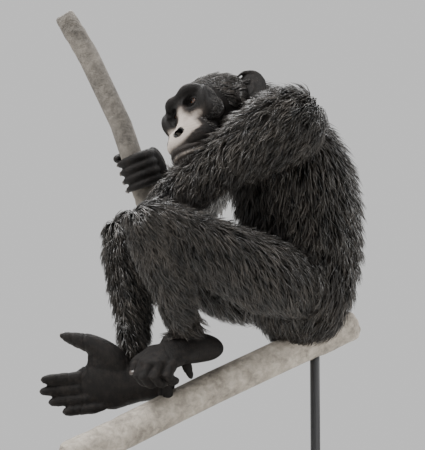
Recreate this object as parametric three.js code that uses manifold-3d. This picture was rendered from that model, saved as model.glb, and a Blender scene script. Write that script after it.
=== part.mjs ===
// An adult chimpanzee, life size, sitting on a cut length of bough and holding a cut length of stem,
// carried by a plain display stand. Millimetres, +Z up, the animal faces -Y and its left side is +X.
import * as THREE from "three";
import { mergeVertices } from "three/addons/utils/BufferGeometryUtils.js";
import Module from "manifold-3d";

const wasm = await Module();
wasm.setup();

// Driving sizes
const GAP = 0.35; // clearance between neighbouring pieces
const PELVIS = [0, 60, 600]; // middle of the hips, above the middle of the base's underside
const BASE = { width: 500, length: 740, thickness: 25 };
const ROD = { radius: 10, front: -325, rear: 130 };
const BOUGH = { radius: 33, slope: 24.5, front: -400, rear: 215, height: -147 };
const STEM = {
  radius: 24,
  line: [
    [-240, -122, 172],
    [-243, -150, 250],
    [-245, -176, 320],
    [-246, -206, 400],
    [-247, -258, 490],
    [-248, -322, 585],
  ],
};
const EYE = { radius: 11.7, at: [68, 27.5, 22] };

// Joints, from the middle of the hips
const JOINT = {
  shoulder_left: [146, 10, 314],
  elbow_left: [50, -214, 150],
  wrist_left: [-10, -168, -86],
  shoulder_right: [-146, 0, 290],
  elbow_right: [-345, 25, 205],
  wrist_right: [-268, -108, 262],
  hip_left: [85, 30, 2],
  knee_left: [116, -284, 100],
  ankle_left: [30, -166, -108],
  hip_right: [-85, 30, 2],
  knee_right: [-84, -246, 108],
  ankle_right: [-74, -232, -128],
};
const HEAD = { at: [-3, -80, 335], yaw: 15.5, pitch: 4, roll: -24 };

// Coat: how far the tips of the hair stand over the skin
const COAT = { head: 9, arm: 20, shoulder: 26, trunk: 26, leg: 17, neck: 20 };

const COLOUR = {
  hair: 0x17140f,
  skin: 0x3a322d,
  face: 0x6b625c,
  eye: 0x2c1a0e,
  bark: 0x8b8174,
  rod: 0x2b2b2d,
  base: 0x3b3a38,
};

const rad = THREE.MathUtils.degToRad;
const vec = (p) => new THREE.Vector3(...p);
const mix = (a, b, t) => a.map((v, i) => v + (b[i] - v) * t);
const mirrored = (row) => [row[0], -row[1], ...row.slice(2)];

// A closed geometry as a solid, optionally placed by a matrix
function solid(geometry, matrix) {
  const bare = geometry.clone();
  bare.deleteAttribute("normal");
  bare.deleteAttribute("uv");
  if (matrix) bare.applyMatrix4(matrix);
  const merged = mergeVertices(bare, 1e-4);
  return new wasm.Manifold(
    new wasm.Mesh({
      numProp: 3,
      vertProperties: merged.attributes.position.array,
      triVerts: new Uint32Array(merged.index.array),
    }),
  );
}

function joined(parts) {
  return parts.reduce((whole, part) => whole.add(part));
}

function largest(body) {
  return body.decompose().reduce((a, b) => (a.volume() > b.volume() ? a : b));
}

// Sections along a smooth line. Each row is x, y, z, the half width along `side` and the half depth.
function sections(rows, side, grow = 0) {
  const centres = rows.map((r) => vec(r));
  const line = new THREE.CatmullRomCurve3(centres, false, "catmullrom", 0.5);
  const sizes = new THREE.CatmullRomCurve3(
    rows.map((r) => new THREE.Vector3(r[3], r[4] ?? r[3], 0)),
    false,
    "catmullrom",
    0.5,
  );
  const towards = vec(side);
  return (t) => {
    const tangent = line.getTangent(t);
    const centre = line.getPoint(t).addScaledVector(tangent, grow * (2 * t - 1));
    const across = towards.clone().addScaledVector(tangent, -towards.dot(tangent)).normalize();
    const size = sizes.getPoint(t);
    return { centre, tangent, across, deep: tangent.clone().cross(across), size };
  };
}

// A body with rounded ends along a line of sections. `round` 1 gives an ellipsoid, lower is squarer.
function loft(rows, side, { around = 14, along = 12, round = 0.7, grow = 0, matrix } = {}) {
  const at = sections(rows, side, grow);
  const shape = new THREE.SphereGeometry(1, around, along);
  const position = shape.attributes.position;
  for (let i = 0; i < position.count; i++) {
    const [x, y, z] = [position.getX(i), position.getY(i), position.getZ(i)];
    const ring = Math.hypot(x, z);
    const t = (1 - Math.sign(y) * Math.abs(y) ** round) / 2;
    const { centre, across, deep, size } = at(t);
    const spread = ring > 1e-6 ? ring ** round / ring : 0;
    centre.addScaledVector(across, x * spread * (size.x + grow));
    centre.addScaledVector(deep, z * spread * (size.y + grow));
    position.setXYZ(i, centre.x, centre.y, centre.z);
  }
  const body = solid(shape, matrix);
  if (body.volume() < 0) throw new Error("a loft is inside out");
  return body;
}

// An ellipsoid, turned by degrees about its own middle
function egg(at, radii, { turn = [0, 0, 0], grow = 0, matrix, around = 16, along = 12 } = {}) {
  const place = new THREE.Matrix4().compose(
    vec(at),
    new THREE.Quaternion().setFromEuler(new THREE.Euler(...turn.map(rad), "ZYX")),
    vec(radii.map((r) => r + grow)),
  );
  return solid(
    new THREE.SphereGeometry(1, around, along),
    matrix ? matrix.clone().multiply(place) : place,
  );
}

const BOTH = [1, -1];

// Head, in its own frame: x forward, y to its left, z up, from midway between the ear holes
const headPlace = new THREE.Matrix4()
  .makeTranslation(...HEAD.at)
  .multiply(
    new THREE.Matrix4().makeRotationFromEuler(
      new THREE.Euler(rad(HEAD.pitch), rad(HEAD.roll), rad(HEAD.yaw), "ZXY"),
    ),
  )
  .multiply(new THREE.Matrix4().makeRotationZ(rad(-90)));

const MOUTH_LINE = [
  [108, 39, -74],
  [122, 33, -77],
  [139, 18, -80],
  [146, 0, -81],
  [139, -18, -80],
  [122, -33, -77],
  [108, -39, -74],
];
const NOSTRIL = [129, 10, -38];
const BROW = [
  [54, 57, 26, 9, 9],
  [74, 47, 40, 12, 12],
  [86, 27, 46, 12, 13],
  [86, 0, 43, 11, 13],
  [86, -27, 46, 12, 13],
  [74, -47, 40, 12, 12],
  [54, -57, 26, 9, 9],
];

function headForms(grow) {
  const g = { grow, matrix: headPlace };
  const coat = COAT.head;
  const parts = [
    egg([-12, 0, 30], [84 + coat, 68 + coat, 64 + coat], { ...g, around: 18, along: 12 }),
    egg([-20, 0, -8], [64 + coat, 56 + coat, 52 + coat], { ...g, around: 14, along: 8 }),
    egg([50, 0, 12], [46, 58, 54], { ...g, around: 14, along: 9 }),
    loft(BROW, [0, 0, 1], { ...g, around: 8, along: 12 }),
    loft(
      [
        [30, 0, -38, 54, 46],
        [70, 0, -46, 46, 44],
        [104, 0, -56, 40, 34],
        [132, 0, -66, 32, 26],
        [150, 0, -70, 22, 18],
      ],
      [0, 1, 0],
      { ...g, around: 14, along: 8, round: 0.75 },
    ),
    loft(
      [
        [14, 0, -62, 56, 30],
        [60, 0, -80, 46, 32],
        [100, 0, -92, 36, 28],
        [128, 0, -98, 26, 22],
        [142, 0, -98, 18, 16],
      ],
      [0, 1, 0],
      { ...g, around: 14, along: 8, round: 0.75 },
    ),
    loft(
      [
        [80, 0, 34, 12, 8],
        [88, 0, 8, 10, 8],
        [99, 0, -16, 13, 10],
        [116, 0, -34, 18, 12],
      ],
      [0, 1, 0],
      { ...g, around: 8, along: 6 },
    ),
    loft(MOUTH_LINE.map((p) => [p[0] + 1, p[1], p[2] + 6, 6, 5]), [0, 0, 1], { ...g, around: 6, along: 12 }),
    loft(MOUTH_LINE.map((p) => [p[0] - 3, p[1], p[2] - 6, 6, 5]), [0, 0, 1], { ...g, around: 6, along: 12 }),
  ];
  for (const s of BOTH) {
    parts.push(egg([58, 44 * s, -3], [28, 20, 26], { ...g, turn: [0, 0, -22 * s], around: 10, along: 7 }));
    parts.push(
      loft(
        [
          [-8, 56 * s, -14, 16, 24],
          [4, 58 * s, -52, 15, 24],
          [40, 50 * s, -74, 14, 20],
          [80, 36 * s, -92, 13, 18],
        ],
        [0, 1, 0],
        { ...g, around: 8, along: 8 },
      ),
    );
  }
  return joined(parts);
}

function head(grow) {
  const g = { matrix: headPlace };
  let body = headForms(grow);
  if (grow) return body;
  const [ex, ey, ez] = EYE.at;
  for (const s of BOTH) {
    body = body.subtract(egg([ex + 20, ey * s, ez], [22, 16.5, 13], { ...g, around: 10, along: 8 }));
  }
  for (const s of BOTH) {
    const lid = egg([ex, ey * s, ez], [EYE.radius + 3.2, EYE.radius + 3.4, EYE.radius + 2.6], { ...g, around: 12, along: 8 });
    body = body.add(lid);
    body = body.subtract(
      egg([ex + 12, ey * s, ez], [12, 9.5, 4.6], { ...g, turn: [8 * s, 0, 0], around: 10, along: 6 }),
    );
    body = body.subtract(egg([ex, ey * s, ez], Array(3).fill(EYE.radius + GAP), { ...g, around: 12, along: 8 }));
    body = body.subtract(
      egg([NOSTRIL[0], NOSTRIL[1] * s, NOSTRIL[2]], [12, 5.5, 8], { ...g, turn: [30 * s, 0, 20 * s], around: 8, along: 6 }),
    );
  }
  const line = MOUTH_LINE.map((p) => [p[0] + 5, p[1] * 1.12, p[2], 1.6, 9]);
  body = body.subtract(loft(line, [0, 0, 1], { ...g, around: 6, along: 12 }));
  return body;
}

function eye(s) {
  return (grow) =>
    egg([EYE.at[0], EYE.at[1] * s, EYE.at[2]], Array(3).fill(EYE.radius), {
      grow,
      matrix: headPlace,
      around: 12,
      along: 8,
    });
}

// Ear: a wide shallow cup with a rolled rim, standing out from the head
function ear(s) {
  const place = headPlace
    .clone()
    .multiply(new THREE.Matrix4().makeTranslation(-12, 70 * s, 20))
    .multiply(
      new THREE.Matrix4().makeRotationFromEuler(new THREE.Euler(rad(8 * s), rad(-10), rad(32 * s), "ZYX")),
    );
  return (grow) => {
    const g = { grow, matrix: place };
    const rim = [
      [14, 10, -26],
      [2, 24, -34],
      [-4, 42, -22],
      [-4, 50, 4],
      [-2, 44, 28],
      [2, 26, 40],
      [10, 8, 34],
    ].map((p) => [p[0] - 6, p[1] * s, p[2], 4, 4.5]);
    let body = joined([
      egg([-4, 22 * s, 2], [7, 27, 37], { ...g, around: 12, along: 8 }),
      egg([-2, -2 * s, 0], [14, 16, 24], { ...g, around: 8, along: 6 }),
      loft(rim, [1, 0, 0], { ...g, around: 6, along: 12 }),
    ]);
    if (grow) return body;
    body = body.subtract(egg([6, 24 * s, 4], [9, 19, 27], { matrix: place, around: 10, along: 8 }));
    body = body.add(
      loft(
        [
          [-2, 10 * s, -14, 4, 5],
          [-2, 27 * s, -6, 4, 5],
          [-2, 30 * s, 12, 4, 4],
          [-2, 22 * s, 26, 3, 4],
        ],
        [1, 0, 0],
        { matrix: place, around: 6, along: 6 },
      ),
    );
    return body;
  };
}

// A finger or toe: bones end to end, each turned by its bend towards the palm or sole
function digit(root, forward, palm, bones, bends, radii) {
  let direction = vec(forward).normalize();
  const axis = direction.clone().cross(vec(palm)).normalize();
  let point = vec(root);
  const rows = [[...point.toArray(), radii[0], radii[0]]];
  bones.forEach((bone, i) => {
    direction = direction.clone().applyAxisAngle(axis, rad(bends[i]));
    const r = radii[i + 1];
    const middle = point.clone().addScaledVector(direction, bone / 2);
    point = point.clone().addScaledVector(direction, bone);
    rows.push([...middle.toArray(), (r + radii[i]) / 2 - 0.6, (r + radii[i]) / 2 - 0.6]);
    rows.push([...point.toArray(), r, r]);
  });
  return rows;
}

// Foot, in its own frame: x towards the toes, y towards the big toe, z up from the sole
const FOOT = {
  body: [
    [-64, -4, 22, 20, 17],
    [-40, -3, 27, 27, 25],
    [0, 2, 32, 34, 29],
    [40, 6, 28, 46, 24],
    [80, 5, 22, 42, 18],
    [112, -5, 17, 39, 12],
  ],
  toeBones: [30, 20, 16],
  toeRoots: [
    [98, 24, 16],
    [98, 4, 16],
    [92, -16, 15],
    [83, -35, 14],
  ],
  toeRadii: [8, 11, 9.5, 9, 7.5],
  hallux: [38, 36, 28],
  web: [[50, 46, 23], [35, 30, 16]],
};

function foot(place, { toeBend, halluxTurn, halluxBend, halluxLine, flip }) {
  const turnRow = (row) => (flip ? mirrored(row) : row);
  return (grow) => {
    const g = { grow, matrix: place };
    const parts = [
      loft(FOOT.body.map(turnRow), [0, 1, 0], { ...g, around: 12, along: 10 }),
      loft([[0, 0, 34, 25, 30], [8, 0, 56, 25, 27], [17, 0, 78, 24, 26]].map(turnRow), [0, 1, 0], {
        ...g,
        around: 10,
        along: 5,
        round: 0.5,
      }),
    ];
    FOOT.toeRoots.forEach((root, i) => {
      const size = [1, 1.04, 0.96, 0.82][i];
      const bones = [32, ...FOOT.toeBones].map((b) => b * size);
      const start = [root[0] - 30, root[1] * 0.9, root[2] + 1];
      const rows = digit(start, [1, 0.02 * (1.5 - i), 0], [0, 0, -1], bones, [0, ...toeBend], FOOT.toeRadii);
      parts.push(loft(rows.map(turnRow), [0, 1, 0], { ...g, around: 6, along: 9, round: 0.8 }));
    });
    const a = rad(halluxTurn ?? 0);
    const palm = [Math.sin(a) * 0.5, -Math.cos(a) * 0.5, -0.8];
    const rows =
      halluxLine ??
      digit([28, 20, 22], [Math.cos(a), Math.sin(a), 0], palm, FOOT.hallux, [0, ...halluxBend], [25, 21, 16, 13]);
    if (halluxLine) parts.push(egg(...FOOT.web, { ...g, around: 12, along: 8 }));
    parts.push(loft(rows.map(turnRow), [0, 0, 1], { ...g, around: 10, along: 8, round: 0.8 }));
    return joined(parts);
  };
}

// The big toe of the open foot, held away from the others
const OPEN_HALLUX = [
  [14, 20, 24, 26],
  [44, 52, 26, 25],
  [72, 76, 24, 18],
  [98, 87, 22, 14.5],
  [126, 98, 20, 12],
];

// A frame from the place of its middle, its forward line, its up line and its size
function frameAt(at, forward, up, size = 1) {
  const x = vec(forward).normalize();
  const y = vec(up).cross(x).normalize();
  const z = x.clone().cross(y);
  return new THREE.Matrix4().makeBasis(x, y, z).scale(vec([size, size, size])).setPosition(...at);
}

const leftFootPlace = frameAt([26, -146, -156], [0.27, -0.94, -0.17], [0.2, -0.15, 0.97], 1.05);
const rightFootPlace = frameAt([-18, -246, -196], [-0.42, -0.9, -0.09], [-0.897, 0.418, 0.139], 1.12);

// Hand, in its own frame: x towards the fingers, y towards the thumb, z out of the back of the hand
const HAND = { fingerBones: [28, 56, 40, 26], fingerRadii: [9, 11.5, 10.5, 9.5, 8] };

function relaxedHand(place, flip) {
  const turnRow = (row) => (flip ? mirrored(row) : row);
  return (grow) => {
    const g = { grow, matrix: place };
    const palm = [
      [0, 0, 0, 26, 19],
      [30, 2, 0, 33, 19],
      [65, 0, 1, 38, 17],
      [96, -2, 0, 35, 13],
    ].map(turnRow);
    const parts = [loft(palm, [0, 1, 0], { ...g, around: 10, along: 8 })];
    [27, 9, -9, -26].forEach((y, i) => {
      const size = [0.94, 1, 0.96, 0.8][i];
      const bones = HAND.fingerBones.map((b) => b * size);
      const rows = digit([64, y * 0.9, 1], [1, y * 0.002, 0], [0, 0, -1], bones, [0, 28, 62, 46], HAND.fingerRadii);
      parts.push(loft(rows.map(turnRow), [0, 1, 0], { ...g, around: 6, along: 10, round: 0.8 }));
    });
    const thumb = digit([16, 20, -6], [0.8, 0.55, -0.2], [0.2, -0.4, -0.9], [40, 26, 22], [0, 15, 20], [15, 12, 10, 9]);
    parts.push(loft(thumb.map(turnRow), [0, 0, 1], { ...g, around: 8, along: 8, round: 0.8 }));
    return joined(parts);
  };
}

// The right hand, its fingers laid round the stem
const gripMiddle = vec(STEM.line[1]).add(vec([0, 0, 10]));
const stemAxis = vec(STEM.line[2]).sub(vec(STEM.line[0])).normalize();

function aroundStem(angle, height, radius) {
  const towardsWrist = vec(JOINT.wrist_right).sub(gripMiddle);
  towardsWrist.addScaledVector(stemAxis, -towardsWrist.dot(stemAxis)).normalize();
  return gripMiddle
    .clone()
    .addScaledVector(stemAxis, height)
    .addScaledVector(towardsWrist.applyAxisAngle(stemAxis, rad(angle)), radius)
    .toArray();
}

function grippingHand(grow) {
  const g = { grow };
  const wrist = JOINT.wrist_right;
  const parts = [
    loft(
      [
        [...wrist, 27, 22],
        [...mix(wrist, aroundStem(-20, 2, 48), 0.55), 30, 21],
        [...aroundStem(-34, 6, 45), 38, 19],
        [...aroundStem(-62, 6, 42), 40, 15],
      ],
      stemAxis.toArray(),
      { ...g, around: 10, along: 8 },
    ),
  ];
  [-27, -9, 9, 27].forEach((height, i) => {
    const rows = [-35, -62, -95, -130, -165, -200, -235].map((angle, k) => [
      ...aroundStem(angle, height + 5 - k, STEM.radius + 11.5 - k * 0.25),
      12 - k * 0.55 - (i === 0 ? 1 : 0),
    ]);
    parts.push(loft(rows, stemAxis.toArray(), { ...g, around: 6, along: 10, round: 0.8 }));
  });
  const thumb = [
    [...mix(wrist, aroundStem(20, 30, 44), 0.5), 16],
    [...aroundStem(25, 32, 42), 15],
    [...aroundStem(62, 40, 38), 12],
    [...aroundStem(98, 42, 35), 10.5],
    [...aroundStem(125, 42, 34), 9.5],
  ];
  parts.push(loft(thumb, stemAxis.toArray(), { ...g, around: 8, along: 8, round: 0.8 }));
  return joined(parts);
}

const leftHandPlace = frameAt(JOINT.wrist_left, [-0.05, -0.35, -0.93], [0.1, -0.93, 0.35]);

// Limbs and trunk: skin sizes along each bone, to which the coat is added
function furred(rows, side, coat, detail = {}) {
  return (grow) =>
    loft(rows.map((r) => [r[0], r[1], r[2], r[3] + coat, (r[4] ?? r[3]) + coat]), side, {
      around: 14,
      along: 10,
      ...detail,
      grow,
    });
}

function bone(from, to, shares, bow = [0, 0, 0]) {
  return shares.map(([t, a, b]) => {
    const swell = 4 * t * (1 - t);
    return [...mix(from, to, t).map((v, i) => v + bow[i] * swell), a, b ?? a];
  });
}

const TRUNK = [
  [0, 84, -92, 62, 58],
  [0, 92, -50, 104, 84],
  [0, 100, 10, 112, 90],
  [0, 104, 80, 116, 92],
  [0, 100, 150, 124, 96],
  [0, 82, 220, 130, 98],
  [0, 50, 285, 120, 88],
  [0, 18, 335, 84, 66],
  [0, -8, 358, 52, 50],
];
const WAIST = 96; // height where the chest meets the belly

const trunk = furred(TRUNK, [1, 0, 0], COAT.trunk, { around: 18, along: 14, round: 0.8 });

function slab(low, high) {
  const box = new THREE.BoxGeometry(900, 900, high - low);
  box.translate(0, 0, (low + high) / 2);
  return solid(box);
}

function chest(grow) {
  return trunk(grow).intersect(slab(WAIST + GAP / 2 - grow, 900));
}

function belly(grow) {
  return trunk(grow).intersect(slab(-900, WAIST - GAP / 2 + grow));
}

const J = JOINT;
const limbs = {
  upper_arm_left: furred(
    bone(J.shoulder_left, J.elbow_left, [[-0.2, 44], [-0.02, 56, 58], [0.25, 53], [0.6, 34], [0.9, 29], [1.06, 25]], [0, 0, 12]),
    [0, 0, 1],
    COAT.shoulder - 2,
  ),
  forearm_left: furred(
    bone(J.elbow_left, J.wrist_left, [[-0.08, 24], [0.1, 31], [0.35, 33], [0.7, 25], [0.97, 22]]),
    [1, 0, 0],
    COAT.arm - 8,
  ),
  upper_arm_right: furred(
    bone(J.shoulder_right, J.elbow_right, [[-0.25, 34], [-0.02, 47], [0.3, 43], [0.65, 35], [0.92, 31], [1.08, 25]]),
    [0, 0, 1],
    COAT.shoulder - 4,
  ),
  forearm_right: furred(
    bone(J.elbow_right, J.wrist_right, [[-0.1, 24], [0.12, 31], [0.4, 32], [0.75, 25], [0.98, 22]], [0, 0, -6]),
    [0, 0, 1],
    COAT.arm - 4,
  ),
  thigh_left: furred(
    bone(J.hip_left, J.knee_left, [[-0.2, 50, 56], [0.1, 62, 68], [0.4, 54, 58], [0.75, 44, 47], [0.97, 42, 43], [1.12, 30]]),
    [1, 0, 0],
    COAT.leg,
  ),
  shin_left: furred(
    bone(J.knee_left, J.ankle_left, [[-0.08, 28], [0.12, 36, 40], [0.38, 34, 38], [0.75, 24, 27], [0.97, 21, 24]], [6, 8, 0]),
    [1, 0, 0],
    COAT.leg,
  ),
  thigh_right: furred(
    bone(J.hip_right, J.knee_right, [[-0.2, 50, 56], [0.1, 62, 68], [0.4, 54, 58], [0.75, 44, 47], [0.97, 42, 43], [1.12, 30]]),
    [1, 0, 0],
    COAT.leg,
  ),
  shin_right: furred(
    bone(J.knee_right, J.ankle_right, [[-0.08, 28], [0.12, 36, 40], [0.38, 34, 38], [0.75, 24, 27], [1.16, 23, 25]], [-4, 8, 0]),
    [1, 0, 0],
    COAT.leg,
  ),
  neck: furred(
    [
      [0, 54, 314, 68, 62],
      [-1, 14, 338, 62, 60],
      [-3, -30, 345, 56, 56],
      [-4, -66, 345, 52, 54],
    ],
    [1, 0, 0],
    COAT.neck,
    { round: 0.6 },
  ),
};

// Perch and stand
const slope = Math.tan(rad(BOUGH.slope));
const boughHeight = (y) => BOUGH.height + slope * (y - 20);

function bough(grow) {
  const reach = BOUGH.rear - BOUGH.front;
  const shape = new THREE.CylinderGeometry(BOUGH.radius + grow, BOUGH.radius + grow, reach / Math.cos(rad(BOUGH.slope)) + 2 * grow, 14, 8);
  const position = shape.attributes.position;
  for (let i = 0; i < position.count; i++) {
    const [x, y, z] = [position.getX(i), position.getY(i), position.getZ(i)];
    const ring = Math.hypot(x, z);
    const angle = Math.atan2(z, x);
    const gnarl = ring > 1 ? 1 + 0.03 * Math.sin(3 * angle + y / 60) + 0.04 * Math.sin(y / 85) : 1;
    position.setXYZ(i, x * gnarl + 6 * Math.sin(y / 120), y, z * gnarl + 5 * Math.cos(y / 140));
  }
  const lie = new THREE.Matrix4()
    .makeTranslation(0, (BOUGH.front + BOUGH.rear) / 2, boughHeight((BOUGH.front + BOUGH.rear) / 2))
    .multiply(new THREE.Matrix4().makeRotationX(rad(BOUGH.slope)));
  return solid(shape, lie);
}

function stem(grow) {
  const rows = STEM.line.map((p, i) => [...p, STEM.radius * (1 - 0.012 * i)]);
  return loft(rows, [1, 0, 0], { around: 14, along: 14, round: 0.35, grow });
}

function rod(y) {
  return (grow) => {
    const low = BASE.thickness - PELVIS[2] + GAP;
    const high = boughHeight(y);
    const shape = new THREE.CylinderGeometry(ROD.radius + grow, ROD.radius + grow, high - low, 14, 1);
    shape.rotateX(Math.PI / 2);
    shape.translate(0, y, (low + high) / 2);
    return solid(shape);
  };
}

// Nodes in order: each one is cut clear of those before it that it touches
const NODES = [
  ["perch_bough", bough, "bark"],
  ["perch_stem", stem, "bark"],
  ["stand_rod_front", rod(ROD.front), "rod"],
  ["stand_rod_rear", rod(ROD.rear), "rod"],
  ["eye_left", eye(1), "eye"],
  ["eye_right", eye(-1), "eye"],
  ["head", head, "face"],
  ["ear_left", ear(1), "skin"],
  ["ear_right", ear(-1), "skin"],
  ["hand_left", relaxedHand(leftHandPlace, false), "skin"],
  ["hand_right", grippingHand, "skin"],
  ["foot_left", foot(leftFootPlace, { toeBend: [55, 85, 35], halluxTurn: 30, halluxBend: [25, 35], flip: true }), "skin"],
  ["foot_right", foot(rightFootPlace, { toeBend: [6, 10, 8], halluxLine: OPEN_HALLUX, flip: false }), "skin"],
  ["forearm_left", limbs.forearm_left, "hair"],
  ["forearm_right", limbs.forearm_right, "hair"],
  ["upper_arm_left", limbs.upper_arm_left, "hair"],
  ["upper_arm_right", limbs.upper_arm_right, "hair"],
  ["neck", limbs.neck, "hair"],
  ["thigh_left", limbs.thigh_left, "hair"],
  ["thigh_right", limbs.thigh_right, "hair"],
  ["shin_left", limbs.shin_left, "hair"],
  ["shin_right", limbs.shin_right, "hair"],
  ["chest", chest, "hair"],
  ["belly", belly, "hair"],
];

function meets(a, b) {
  const [p, q] = [a.boundingBox(), b.boundingBox()];
  return [0, 1, 2].every((i) => p.min[i] < q.max[i] && q.min[i] < p.max[i]);
}

function mesh(name, body, colour) {
  const data = body.getMesh();
  const shape = new THREE.BufferGeometry();
  shape.setAttribute("position", new THREE.BufferAttribute(data.vertProperties, 3));
  shape.setIndex(new THREE.BufferAttribute(data.triVerts, 1));
  const material = new THREE.MeshStandardMaterial({
    color: COLOUR[colour],
    roughness: colour === "eye" ? 0.15 : 0.8,
    metalness: colour === "rod" ? 0.8 : 0,
  });
  const made = new THREE.Mesh(shape, material);
  made.name = name;
  return made;
}

const figure = new THREE.Group();
figure.position.set(...PELVIS);
const cutters = [];
for (const [name, make, colour] of NODES) {
  let body = make(0);
  for (const [, cutter] of cutters) if (meets(body, cutter)) body = body.subtract(cutter);
  figure.add(mesh(name, largest(body), colour));
  cutters.push([name, make(GAP)]);
}

const base = new THREE.Mesh(
  new THREE.BoxGeometry(BASE.width, BASE.length, BASE.thickness).translate(0, 0, BASE.thickness / 2),
  new THREE.MeshStandardMaterial({ color: COLOUR.base, roughness: 0.6 }),
);
base.name = "stand_base";

const chimpanzee = new THREE.Group();
chimpanzee.add(figure, base);

export default chimpanzee;
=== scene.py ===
"""An adult chimpanzee sitting on a cut bough, as a life-size museum model. Metres, +Z up, it faces -Y."""

import math
from functools import partial

import bmesh
import bpy
import numpy as np
from mathutils import Euler, Matrix, Vector
from mathutils.bvhtree import BVHTree


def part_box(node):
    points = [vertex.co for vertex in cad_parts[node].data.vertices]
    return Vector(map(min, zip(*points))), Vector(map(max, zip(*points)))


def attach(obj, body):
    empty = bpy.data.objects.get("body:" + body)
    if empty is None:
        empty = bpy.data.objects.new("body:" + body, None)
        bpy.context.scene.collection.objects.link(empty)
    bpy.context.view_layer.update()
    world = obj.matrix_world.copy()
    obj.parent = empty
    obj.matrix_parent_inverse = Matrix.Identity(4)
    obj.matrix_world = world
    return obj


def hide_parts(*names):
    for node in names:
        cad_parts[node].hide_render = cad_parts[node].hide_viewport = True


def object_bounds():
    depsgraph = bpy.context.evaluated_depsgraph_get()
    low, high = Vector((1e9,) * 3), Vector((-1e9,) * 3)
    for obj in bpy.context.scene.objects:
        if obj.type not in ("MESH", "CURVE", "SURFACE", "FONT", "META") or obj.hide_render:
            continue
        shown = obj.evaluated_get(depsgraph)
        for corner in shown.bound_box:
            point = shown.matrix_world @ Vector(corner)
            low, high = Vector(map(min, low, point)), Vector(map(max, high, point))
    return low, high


bl_info = {
    "name": "Chimpanzee Model",
    "version": (1, 0, 0),
    "blender": (4, 5, 0),
    "location": "View3D > Sidebar > Chimpanzee",
    "description": "Builds a life-size chimpanzee with its coat, perch and display stand",
    "category": "Object",
}

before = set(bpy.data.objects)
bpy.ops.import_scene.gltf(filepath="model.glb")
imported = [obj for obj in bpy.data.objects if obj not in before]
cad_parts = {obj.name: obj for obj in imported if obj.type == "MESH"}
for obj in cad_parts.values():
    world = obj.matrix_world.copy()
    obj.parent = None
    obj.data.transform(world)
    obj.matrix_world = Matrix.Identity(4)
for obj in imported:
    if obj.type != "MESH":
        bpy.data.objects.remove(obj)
CAD_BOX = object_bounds()
MM = 0.001
PELVIS = Vector((0, 0.060, 0.600))
BODY = "root"
SIDES = {"left": 1, "right": -1}

# Joints of the animal in millimetres from the middle of the hips, as in the CAD model
JOINT = {
    "shoulder_left": (146, 10, 314),
    "elbow_left": (50, -214, 150),
    "wrist_left": (-10, -168, -86),
    "shoulder_right": (-146, 0, 290),
    "elbow_right": (-345, 25, 205),
    "wrist_right": (-268, -108, 262),
    "hip_left": (85, 30, 2),
    "knee_left": (116, -284, 100),
    "ankle_left": (30, -166, -108),
    "hip_right": (-85, 30, 2),
    "knee_right": (-84, -246, 108),
    "ankle_right": (-74, -232, -128),
}
HEAD_AT = (-3, -80, 335)
HEAD_TURN = (4, -24, 15.5)  # pitch, roll and yaw in degrees
EYE_AT = (68, 27.5, 22)
EYE_RADIUS = 11.9
CORNEA_EDGE = 0.86  # cosine of the angle from the gaze at which the cornea starts
CORNEA_BULGE = 0.06
GAZE_SPREAD = 75  # degrees from the gaze over which the eye's colours run
STEM_RADIUS = 24
STEM_END = (-248, -318, 579)  # the bark stops short of the last point, inside the solid's end
STEM = (
    (-240, -122, 172),
    (-243, -150, 250),
    (-245, -176, 320),
    (-246, -206, 400),
    (-247, -258, 490),
    (-248, -322, 585),
)
BOUGH_RADIUS = 33
BOUGH_SLOPE = 24.5
BOUGH_FRONT, BOUGH_REAR, BOUGH_HEIGHT = -400, 215, -147
LEVEL_AT = 20  # where along Y the bough is at its height
LIMB_SOFTNESS = 0.75  # how round a limb's ends are: 1 is a ball, 0 a flat cut


# Small helpers
def linear(hex_colour):
    """An sRGB hex colour as linear red, green, blue and alpha."""
    parts = [int(hex_colour[i : i + 2], 16) / 255 for i in (1, 3, 5)]
    return tuple(c / 12.92 if c <= 0.04045 else ((c + 0.055) / 1.055) ** 2.4 for c in parts) + (1.0,)


def add_node(tree, kind, settings=None, **links):
    """Adds a node, sets its properties, and sets or links its inputs by name, or by number as i0, i1."""
    node = tree.nodes.new(kind)
    for key, value in (settings or {}).items():
        setattr(node, key, value)
    for key, value in links.items():
        numbered = key[0] == "i" and key[1:].isdigit()
        socket = node.inputs[int(key[1:]) if numbered else key.replace("_", " ")]
        if isinstance(value, bpy.types.NodeSocket):
            tree.links.new(value, socket)
        else:
            socket.default_value = value
    return node


def new_material(name):
    """An empty material: itself, its node tree and its output node."""
    material = bpy.data.materials.new(name)
    material.use_nodes = True
    tree = material.node_tree
    tree.nodes.clear()
    output = tree.nodes.new("ShaderNodeOutputMaterial")
    return material, tree, output


def finish_material(tree, output, colour, roughness, normal=None, **fixed):
    """Ends a material in one Principled BSDF."""
    shader = add_node(tree, "ShaderNodeBsdfPrincipled", **fixed)
    for name, value in (("Base Color", colour), ("Roughness", roughness), ("Normal", normal)):
        if value is None:
            continue
        if isinstance(value, bpy.types.NodeSocket):
            tree.links.new(value, shader.inputs[name])
        else:
            shader.inputs[name].default_value = value
    tree.links.new(shader.outputs["BSDF"], output.inputs["Surface"])


def math_node(tree, operation, *values, clamp=False):
    """The result of a Math node: values are sockets or numbers."""
    inputs = {f"i{k}": value for k, value in enumerate(values)}
    return add_node(tree, "ShaderNodeMath", {"operation": operation, "use_clamp": clamp}, **inputs).outputs[0]


def two_tone(tree, share, dark, light, low=0.0, high=1.0):
    """A colour ramp from dark to light between two shares."""
    ramp = add_node(tree, "ShaderNodeValToRGB", Fac=share)
    for element, position, colour in zip(ramp.color_ramp.elements, (low, high), (dark, light)):
        element.position = position
        element.color = linear(colour)
    return ramp


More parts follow.
